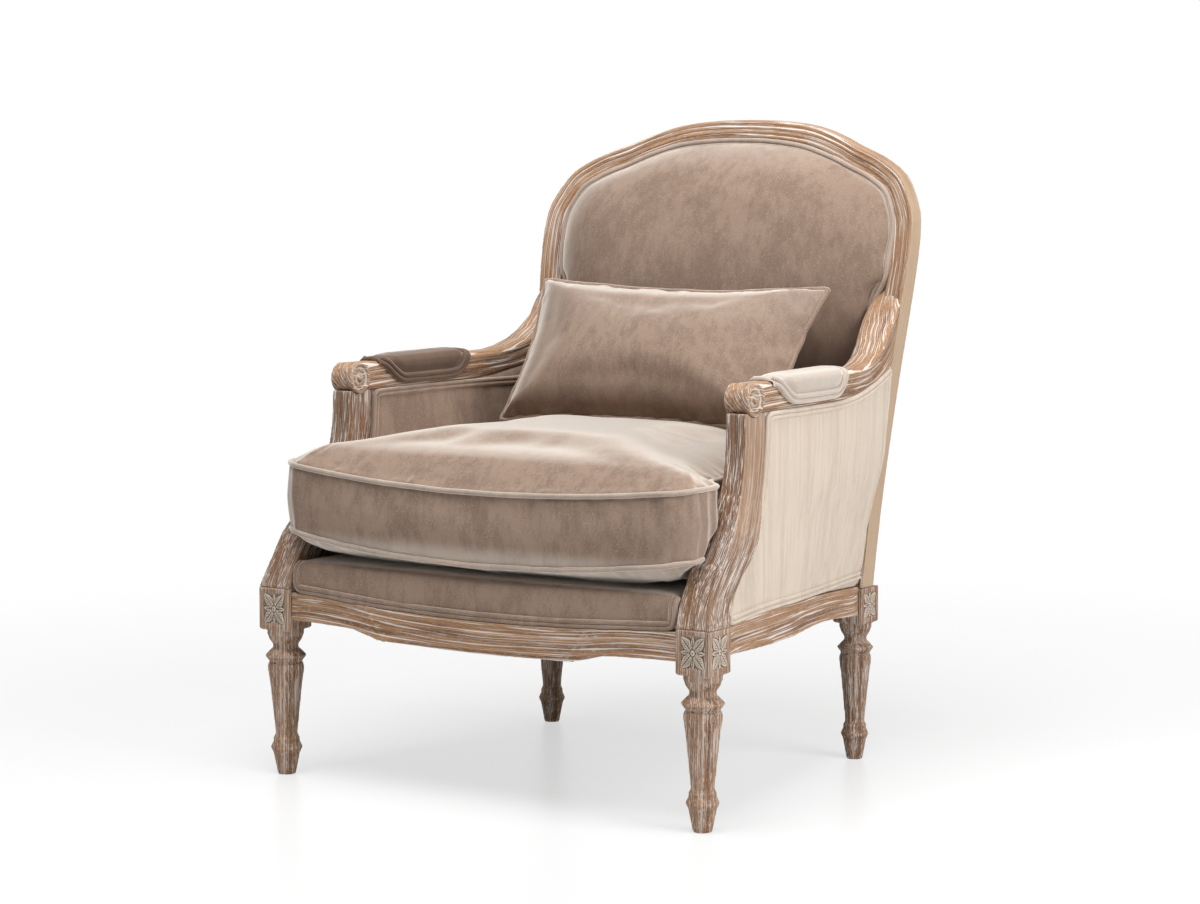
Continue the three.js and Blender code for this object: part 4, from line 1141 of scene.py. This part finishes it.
def side_welt(solids, cover, name, side, where, radius):
    """The double welt of a side: up along the arm post and back under the arm to the stile.
    Outside it also runs along the rail. With it comes the way that it faces."""
    post, arm, rail = (solids[f"{part}_{name}"] for part in ("arm_post", "arm", "side_rail"))
    gap = 2.1 * radius
    middle, front, narrowing = SIDE_WELTS[where]

    def behind_post(z):
        return cast(post, (middle * side, 0, min(z, POST_TOP)), FORWARDS)[1] + gap

    def under_arm(y):
        share = (y - SIDE_FROM) / (SIDE_TO - SIDE_FROM)
        hit = cast(arm, ((front - narrowing * share) * side, y, 0.46), UP)
        return (ARM_UNDERSIDE if hit is None else hit[2]) - gap

    def over_rail(y):
        hit = cast(rail, ((0.361 - 0.104 * (y + 0.3)) * side, y, 0.45), DOWN)
        return (RAIL_TOP if hit is None else hit[2]) + gap

    high = under_arm(behind_post(0.54))
    if where == "inside":
        points = [(behind_post(z), z) for z in np.linspace(INSIDE_SIDE_FOOT, high, 10)]
        start, way = 0.0, side
    else:
        low = over_rail(behind_post(0.29))
        points = [(y, over_rail(y)) for y in np.linspace(0.188, behind_post(low), 20)]
        points += [(behind_post(z), z) for z in np.linspace(low, high, 22)[1:]]
        start, way = 0.6 * side, -side
    points += [(y, under_arm(y)) for y in np.linspace(points[-1][0], 0.222, 20)[1:]]
    line = softened(dense_line(points, 0.004), 3)
    path = met(cover, [(start, y, z) for y, z in line], (way, 0, 0))
    return softened(path, 3), np.array((-way, 0, 0))


def rear_edge(cover, radius):
    """Down the rear edge of an outside arm panel, where a cord closes its gap to the stile."""
    places = corners(cover.data)
    path = []
    for z in np.arange(*SIDE_REAR_EDGE, -0.004):
        row = places[abs(places[:, 2] - z) < 0.003]
        path.append((*row[row[:, 1].argmax(), :2], z))
    return softened(np.array(path) + (0, 0.6 * radius, 0), 6)


# Painted light and shade on the fixed pads: the right arm pad painted paler as if lit, the left
# one darker as painted shade, and the inside back a little paler at its top, a little darker to
# its right and much darker low down, as painted shade under the pillow.
PAD_PAINTED_LIGHT = {
    "arm_pad_right": lambda places: np.full(len(places), 0.45),
    "arm_pad_left": lambda places: np.full(len(places), -0.7),
    "inside_back_pad": lambda places: (0.2 * ramp(places[:, 2], 0.83, 0.91) - 0.08
                                       - 0.1 * ramp(places[:, 0], 0.10, 0.26)
                                       - 0.72 * (1 - ramp(places[:, 2], 0.57, 0.72))),
}

# The border of an arm pad as it lies on its sides, from its front top down round its nose, back
# along its lower edge and up at the rear: back and up, in metres
PAD_BORDER = (
    (-0.157, 0.5925), (-0.147, 0.5878), (-0.132, 0.5770), (-0.118, 0.5680), (-0.104, 0.5640),
    (-0.07, 0.5634), (-0.03, 0.5634), (0.008, 0.5637), (0.022, 0.5660), (0.032, 0.5725),
    (0.039, 0.5815), (0.0435, 0.5925),
)


def pad_border(side, cover):
    """The closed path of the border of an arm pad, on the pad."""
    outer, inner = (met(cover, [(start * side, y, z) for y, z in PAD_BORDER], (way * side, 0, 0))
                    for start, way in ((0.55, -1), (0.15, 1)))
    inner = inner[::-1]
    points = []
    for line, follows in ((outer, inner), (inner, outer)):
        first, last = line[-1], follows[0]
        over = [first + (last - first) * part for part in (0.15, 0.3, 0.5, 0.7, 0.85)]
        points += [line, met(cover, [(x, y, 0.7) for x, y, _ in over], DOWN)]
    return smooth_path(np.vstack(points), 0.003, closed=True)


def puffed(piece, border, radius, puff):
    """Presses a cover down along its border, and lets it swell inside it."""
    gaps, _ = distance_to(corners(piece.data), border)
    raised(piece.data, ramp(gaps, 1.6 * radius, 5.5 * radius) * puff - 0.35 * puff)


def deck_welt(rail, deck, radius):
    """The double welt along the front rail and up both ends of the deck's roll."""
    reach = DECK_HALF_WIDTH - 2 * radius
    points = []
    for x in np.linspace(-reach, reach, 41):
        front = cast(deck, (x, -0.6, 0.30), BACKWARDS)
        top = cast(rail, (x, front[1] + 0.012, 0.4), DOWN)
        points.append((x, top[2] + 2.2 * radius))
    end = [(-reach, DECK_WELT_TOP), (-reach, points[0][1])]
    points = end + points[1:-1] + [(-x, z) for x, z in reversed(end)]
    line = softened(dense_line(points, 0.004), 3)
    return softened(met(deck, [(x, -0.6, z) for x, z in line], BACKWARDS), 2)


def dust_sheet():
    """A thin sheet under the seat, cut like its solid, that sags a little between its edges."""
    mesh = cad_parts["dust_cover"].data
    flat = np.array([tuple(v.co) for v in mesh.vertices])
    low, high = flat.min(axis=0), flat.max(axis=0)
    tree = tree_of(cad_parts["dust_cover"])
    columns, rows = (int(round((high[i] - low[i]) / DUST_STEP)) for i in (0, 1))
    inside, places = {}, []
    for i in range(columns + 1):
        for j in range(rows + 1):
            x = low[0] + (high[0] - low[0]) * i / columns
            y = low[1] + (high[1] - low[1]) * j / rows
            if cast(tree, (x * 0.9985, y * 0.9985, 0.1), UP) is None:
                continue
            across = 1 - (x / high[0]) ** 2
            back = 1 - ((2 * y - low[1] - high[1]) / (high[1] - low[1])) ** 2
            sag = DUST_SAG * max(across, 0) * max(back, 0)
            inside[i, j] = len(places)
            places.append((x, y, high[2] - 0.0004 - sag))
    faces = []
    for i, j in inside:
        square = [(i, j), (i, j + 1), (i + 1, j + 1), (i + 1, j)]
        if all(corner in inside for corner in square):
            faces.append([inside[corner] for corner in square])
    piece = new_object("dust_cover_sheet", mesh_from("dust_cover_sheet", places, faces))
    thickened(piece, DUST_THICKNESS, 0)
    return piece


class BERGERE_OT_upholstery(bpy.types.Operator):
    """Covers the fixed upholstery and sews on its double welts"""

    bl_idname = "bergere.upholstery"
    bl_label = "Fixed upholstery"

    def execute(self, context):
        fabric = context.scene.bergere_fabric
        radius = fabric.welt_radius
        velvet(fabric)
        linen(fabric)
        dust_cloth()
        wide = fabric.border_radius
        twin, border = twin_profile(radius), twin_profile(wide)
        solids = {name: tree_of(node) for name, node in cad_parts.items()}
        pads = {}
        for node, (voxel, relax, wrinkle) in PADS.items():
            piece = even_cover(node, voxel, relax, len(pads) * 7 + 3, wrinkle)
            pads[node] = finish_piece(piece, "velvet", nodes=(node,))
            # Painted light and shade on the pads that have it
            if node in PAD_PAINTED_LIGHT:
                brushed(piece, PAD_PAINTED_LIGHT[node](corners(piece.data)))
        panels = {}
        for node in PANELS:
            piece = remeshed_copy([node], node + "_cover", 0.0022, 4)
            pleated(piece, fabric.pleat, 71)
            panels[node] = finish_piece(piece, "linen", nodes=(node,))

        path = inside_back_welt(tree_of(pads["inside_back_pad"]), wide) - (0, 0.5 * wide, 0)
        edging = welt("inside_back_welt", path, (0, -1, 0.12), border, "velvet")
        # Painted highlight on the welt's upper part, and painted shade on its lower part beside
        # the pillow
        brushed(edging, 0.2 - 0.6 * (1 - ramp(corners(edging.data)[:, 2], 0.57, 0.72)))
        path = outside_back_welt(tree_of(panels["outside_back_panel"]), radius)
        welt("outside_back_welt", path, (0, 1, -0.2), twin, "linen", closed=True)

        for name, side in SIDES:
            for where, cover, slot in (
                ("inside", pads[f"inside_arm_pad_{name}"], "velvet"),
                ("outside", panels[f"outside_arm_panel_{name}"], "linen"),
            ):
                path, up = side_welt(solids, tree_of(cover), name, side, where, radius)
                welt(f"{where}_arm_welt_{name}", path + up * radius * 0.5, up, twin, slot)
            path = rear_edge(panels[f"outside_arm_panel_{name}"], radius)
            welt(f"outside_arm_cord_{name}", path, (side, 0, 0), cord_profile(radius), "linen")
            pad = pads[f"arm_pad_{name}"]
            path = pad_border(side, tree_of(pad))
            puffed(pad, path, wide, fabric.puff)
            path, ups = laid_on(path, tree_of(pad), wide * 0.35)
            path, ups = softened(path, 5, True), softened(ups, 14, True)
            edging = welt(f"arm_pad_welt_{name}", path, ups, border, "velvet", closed=True)
            # The welt gets the same painted light and shade as its pad
            brushed(edging, PAD_PAINTED_LIGHT[f"arm_pad_{name}"](corners(edging.data)))

        path = deck_welt(solids["front_rail"], tree_of(pads["seat_deck"]), radius)
        welt("seat_deck_welt", path - (0, radius * 0.5, 0), (0, -1, 0), twin, "velvet")

        under = finish_piece(dust_sheet(), "dust_cloth", nodes=("dust_cover",))
        return {"FINISHED"}


# The loose cushions, in metres in the frame
CROWN = 0.503  # height of the middle of the seat cushion
CROWN_REACH = 0.095  # how far in from its seam the crown is full
CROWN_STEEP = 2.7  # how steeply it rises from the seam: 1 is a straight slope
CROWN_FALL = 0.004  # how much lower the crown is towards the sides
SEAT_SEAMS = {"upper": (0.460, 0.022), "lower": (0.362, 0.028)}  # height, and dip at the front
SEAT_MIDDLE = (0.0, -0.18)
SEAT_FRONT_HALF = 0.351
FRONT_CORNER = (0.25, -0.24)  # the folds of a front corner fan out from here
CORNER_WAY = (0.76, -0.65)  # and this way
PILLOW_LOW = (0.0, 0.372 - PLAN_SHIFT, 0.490)  # the middle of the pillow's lower edge
PILLOW_HIGH = (0.0, 0.514 - PLAN_SHIFT, 0.705)
PILLOW_HALF_WIDTHS = (0.246, 0.258)  # at its lower and its upper corners
PILLOW_DRAWN = 0.014  # how far its sides are drawn in between the corners
PLUMP_REACH = 0.06
CLOTH = {"quality": 6, "mass": 0.25, "tension_stiffness": 18, "compression_stiffness": 18,
         "shear_stiffness": 6, "use_pressure": True, "vertex_group_mass": "held"}


def brushed(piece, nap):
    """Stores painted light and shade at each corner of the piece: below 0 the velvet is painted
    darker as shade, above 0 paler as a highlight.
    """
    store(piece.data, "nap", np.asarray(nap, float))
    return piece


def domed(piece, seam):
    """Lifts the top of the seat cushion into a full crown that rises steeply from its upper
    seam."""
    mesh = piece.data
    places = corners(mesh)
    flat = np.column_stack([places[:, :2], np.zeros(len(places))])
    gaps, nearest = distance_to(flat, seam * (1, 1, 0))
    edge = seam[nearest, 2]
    rise = 1 - (1 - np.minimum(gaps / CROWN_REACH, 1)) ** CROWN_STEEP
    wide = (places[:, 0] / 0.36) ** 2 + ((places[:, 1] + 0.10) / 0.30) ** 2
    target = edge + (CROWN - CROWN_FALL * np.minimum(wide, 1) - edge) * rise
    above = places[:, 2] > edge + 0.002 * (gaps > 0.01)
    lifted = above & (normals(mesh)[:, 2] > 0)
    lift = np.zeros((len(places), 1))
    lift[lifted, 0] = 0.75 * (target[lifted] - places[lifted, 2])
    places[:, 2] += relaxed(lift, edges(mesh), 8)[:, 0]
    set_corners(mesh, relaxed(places, edges(mesh), 4))


def creased(piece, depth):
    """Folds that fan out over the front corners of the seat cushion, where its boxing turns."""
    mesh = piece.data
    places = corners(mesh)
    for _, side in SIDES:
        away = places[:, :2] - (FRONT_CORNER[0] * side, FRONT_CORNER[1])
        far = np.linalg.norm(away, axis=1).clip(1e-6)
        way = away / far[:, None]
        inside_fan = ramp(way @ (CORNER_WAY[0] * side, CORNER_WAY[1]), 0.84, 0.99)
        folds = lattice_noise(np.column_stack([way * 12, places[:, 2] * 5]), 90)
        depths = folds * (inside_fan * ramp(far, 0.05, 0.10)) * depth
        places += normals(mesh) * depths[:, None]
    set_corners(mesh, places)


def cushion_seam(tree, height, dip):
    """A closed seam round the seat cushion, at a height that dips towards the middle of its
    front."""
    centre = np.array(SEAT_MIDDLE)
    points = []
    for turn in np.linspace(0, 2 * math.pi, 260, endpoint=False):
        way = np.array([math.cos(turn), math.sin(turn)])
        reach = 0.3
        for _ in range(3):
            x, y = centre + way * reach
            forward = min(max((-0.268 - y) / 0.1, 0), 1)
            z = height - dip * max(0, 1 - (x / SEAT_FRONT_HALF) ** 2) * forward
            hit = cast(tree, (*(centre + way * 0.9), z), (*-way, 0))
            if hit is None:
                break
            reach = math.hypot(*(hit[:2] - centre))
        points.append((*(centre + way * reach), z))
    return smooth_path(points, 0.004, closed=True)


def pillow_seam():
    """The lumbar pillow's edge: four sides drawn in between its pointed corners."""
    low, high, out = np.array(PILLOW_LOW), np.array(PILLOW_HIGH), np.array((1.0, 0, 0))
    up = (high - low) / np.linalg.norm(high - low)
    foot, head = (out * half_width for half_width in PILLOW_HALF_WIDTHS)
    turns = [low - foot, low + foot, high + head, high - head]
    points = []
    for first, last, inwards in zip(turns, turns[1:] + turns[:1], (up, -out, -up, out)):
        for share in np.linspace(-1, 1, 40, endpoint=False):
            points.append(first + (last - first) * (share + 1) / 2
                          + inwards * PILLOW_DRAWN * (1 - share * share))
    return smooth_path(points, 0.004, closed=True)


class BERGERE_OT_cushions(bpy.types.Operator):
    """Fills the seat cushion and the lumbar pillow"""

    bl_idname = "bergere.cushions"
    bl_label = "Cushions"

    def execute(self, context):
        fill = context.scene.bergere_filling
        round_cord = cord_profile(fill.cord)
        solids = {name: tree_of(node) for name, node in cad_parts.items()}

        seat = remeshed_copy(["seat_cushion"], "seat_cushion_cover", fill.voxel, relax=6)
        seams = {name: cushion_seam(solids["seat_cushion"], height, dip)
                 for name, (height, dip) in SEAT_SEAMS.items()}
        domed(seat, seams["upper"])
        stuffed(seat, list(seams.values()), fill, 41,
                [solids[f"{part}_{side}"] for side, _ in SIDES
                 for part in ("arm_post", "inside_arm_pad")])
        creased(seat, fill.crease)
        finish_piece(seat, "velvet", "seat_cushion", nodes=("seat_cushion",))
        # Painted highlight on the cushion's underside, below its lower seam
        brushed(seat, 0.35 * (1 - ramp(corners(seat.data)[:, 2], 0.345, 0.37)))
        surface = tree_of(seat)
        for name, seam in seams.items():
            path, ups = laid_on(seam, surface, fill.cord * 0.5)
            path = softened(path, 5, closed=True)
            piping = welt(f"seat_cushion_{name}_piping", path, softened(ups, 8, closed=True),
                          round_cord, "velvet", "seat_cushion", closed=True)
            # Painted highlight on the piping
            brushed(piping, np.full(len(piping.data.vertices), 0.25))

        round_cord = cord_profile(fill.pillow_cord)
        pillow = remeshed_copy(["lumbar_pillow"], "lumbar_pillow_cover", 0.0045, relax=16)
        seam = pillow_seam()
        gaps, _ = distance_to(corners(pillow.data), seam)
        raised(pillow.data, fill.plump * ramp(gaps, 0, PLUMP_REACH))
        stuffed(pillow, [seam], fill, 57, [surface])
        finish_piece(pillow, "velvet", "lumbar_pillow", nodes=("lumbar_pillow",))
        height = corners(pillow.data)[:, 2]
        # Painted highlight on the pillow's top, and painted shade over its lower part
        brushed(pillow, 0.1 * ramp(height, 0.62, 0.70) - 0.45 * (1 - ramp(height, 0.49, 0.62)))
        path, ups = laid_on(seam, tree_of(pillow), fill.cord * 0.2)
        path = softened(path, 3, closed=True)
        outwards = unit(path - path.mean(axis=0))
        welt("lumbar_pillow_piping", path, outwards, round_cord, "velvet", "lumbar_pillow",
             closed=True)
        return {"FINISHED"}


LAMPED = (0, 0, 0.45)  # the point of the chair that the lamps face
SOFTBOXES = {"key": ((3.1, -0.2, 2.1), (1.8, 2.2)), "top": ((0.2, -0.9, 3.1), (2.2, 2.0)),
             "fill": ((-2.6, -2.6, 1.4), (2.0, 2.0))}  # where each stands, and its sides
FLOOR_REACH = 14


def aimed(name, data, place, aim):
    """A camera or a lamp that stands at a place and is turned towards its aim."""
    holder = new_object(name, data)
    holder.location = place
    holder.rotation_euler = (Vector(aim) - Vector(place)).to_track_quat("-Z", "Y").to_euler()
    return holder


def softbox(name, place, sides, power):
    light = bpy.data.lights.new(name, "AREA")
    light.shape = "RECTANGLE"
    light.size, light.size_y = sides
    light.energy = power
    aimed(name, light, place, LAMPED)


def studio_floor(pale):
    """A pale satin floor that the camera sees nearly white, most of all away from the chair."""
    made = Shader("studio_floor")
    seen = made.node("LightPath", None, "Is Camera Ray")
    apart = made.node("VectorMath", {"operation": "LENGTH"}, "Value", Vector=made.place())
    satin = made.node("BsdfPrincipled", Base_Color=(pale, pale, pale), Roughness=0.32)
    mixed = made.node("MixShader", Fac=seen * (apart.between(0.5, 2.2) * 0.42 + 0.58))
    for slot, surface in zip(mixed.socket.node.inputs[1:], (satin, made.node("Emission"))):
        feed(made.tree, slot, surface)
    return made.ended(mixed)


def studio_world(ambient):
    """White where it is seen, in gloss and through glass too, and dim as a light."""
    made = Shader("studio", "worlds")
    camera, glossy, through = (made.node("LightPath", None, f"Is {ray} Ray")
                               for ray in ("Camera", "Glossy", "Transmission"))
    seen = camera.greatest(glossy).greatest(through)
    sky = made.node("Background", Color=(1, 1, 1), Strength=seen * (1 - ambient) + ambient)
    return made.ended(sky, "OutputWorld")


class BERGERE_OT_stage(bpy.types.Operator):
    """Sets the floor, the lamps and the camera"""

    bl_idname = "bergere.stage"
    bl_label = "Stage"

    def execute(self, context):
        stage = context.scene.bergere_stage
        camera = bpy.data.cameras.new("camera")
        camera.lens = stage.focal
        camera.sensor_width = 36
        camera.sensor_fit = "HORIZONTAL"
        context.scene.camera = aimed("camera", camera, stage.eye, stage.aim)

        corners_of_floor = [(x * FLOOR_REACH, y * FLOOR_REACH, 0)
                            for x, y in ((-1, -1), (1, -1), (1, 1), (-1, 1))]
        floor = new_object("floor", mesh_from("floor", corners_of_floor, [(0, 1, 2, 3)]))
        floor.data.materials.append(studio_floor(stage.floor))

        context.scene.world = studio_world(stage.ambient)
        for name, (place, sides) in SOFTBOXES.items():
            softbox(name, place, sides, getattr(stage, name))
        context.scene.view_settings.view_transform = "Standard"
        return {"FINISHED"}


class BERGERE_PT_panel(bpy.types.Panel):
    """Lists the settings and the steps"""

    bl_label = "Bergere chair"
    bl_idname = "BERGERE_PT_panel"
    bl_space_type = "VIEW_3D"
    bl_region_type = "UI"
    bl_category = "Bergere"

    def draw(self, context):
        for kept in GROUPS:
            group = getattr(context.scene, kept)
            box = self.layout.box()
            for name in group.__annotations__:
                box.prop(group, name)
        for operator in OPERATORS:
            self.layout.operator(operator.bl_idname)


OPERATORS = (BERGERE_OT_stage, BERGERE_OT_wood, BERGERE_OT_carving, BERGERE_OT_upholstery,
             BERGERE_OT_cushions)
GROUPS = {"bergere_wood": BergereWood, "bergere_fabric": BergereFabric,
          "bergere_filling": BergereFilling, "bergere_stage": BergereStage}


def register():
    for item in (*GROUPS.values(), *OPERATORS, BERGERE_PT_panel):
        bpy.utils.register_class(item)
    for name, group in GROUPS.items():
        setattr(bpy.types.Scene, name, PointerProperty(type=group))


def unregister():
    for name in GROUPS:
        delattr(bpy.types.Scene, name)
    for item in (BERGERE_PT_panel, *reversed(OPERATORS), *reversed(GROUPS.values())):
        bpy.utils.unregister_class(item)


def main():
    register()
    bpy.ops.bergere.stage()
    bpy.ops.bergere.wood()
    bpy.ops.bergere.carving()
    bpy.ops.bergere.upholstery()
    bpy.ops.bergere.cushions()


if __name__ == "__main__":
    main()
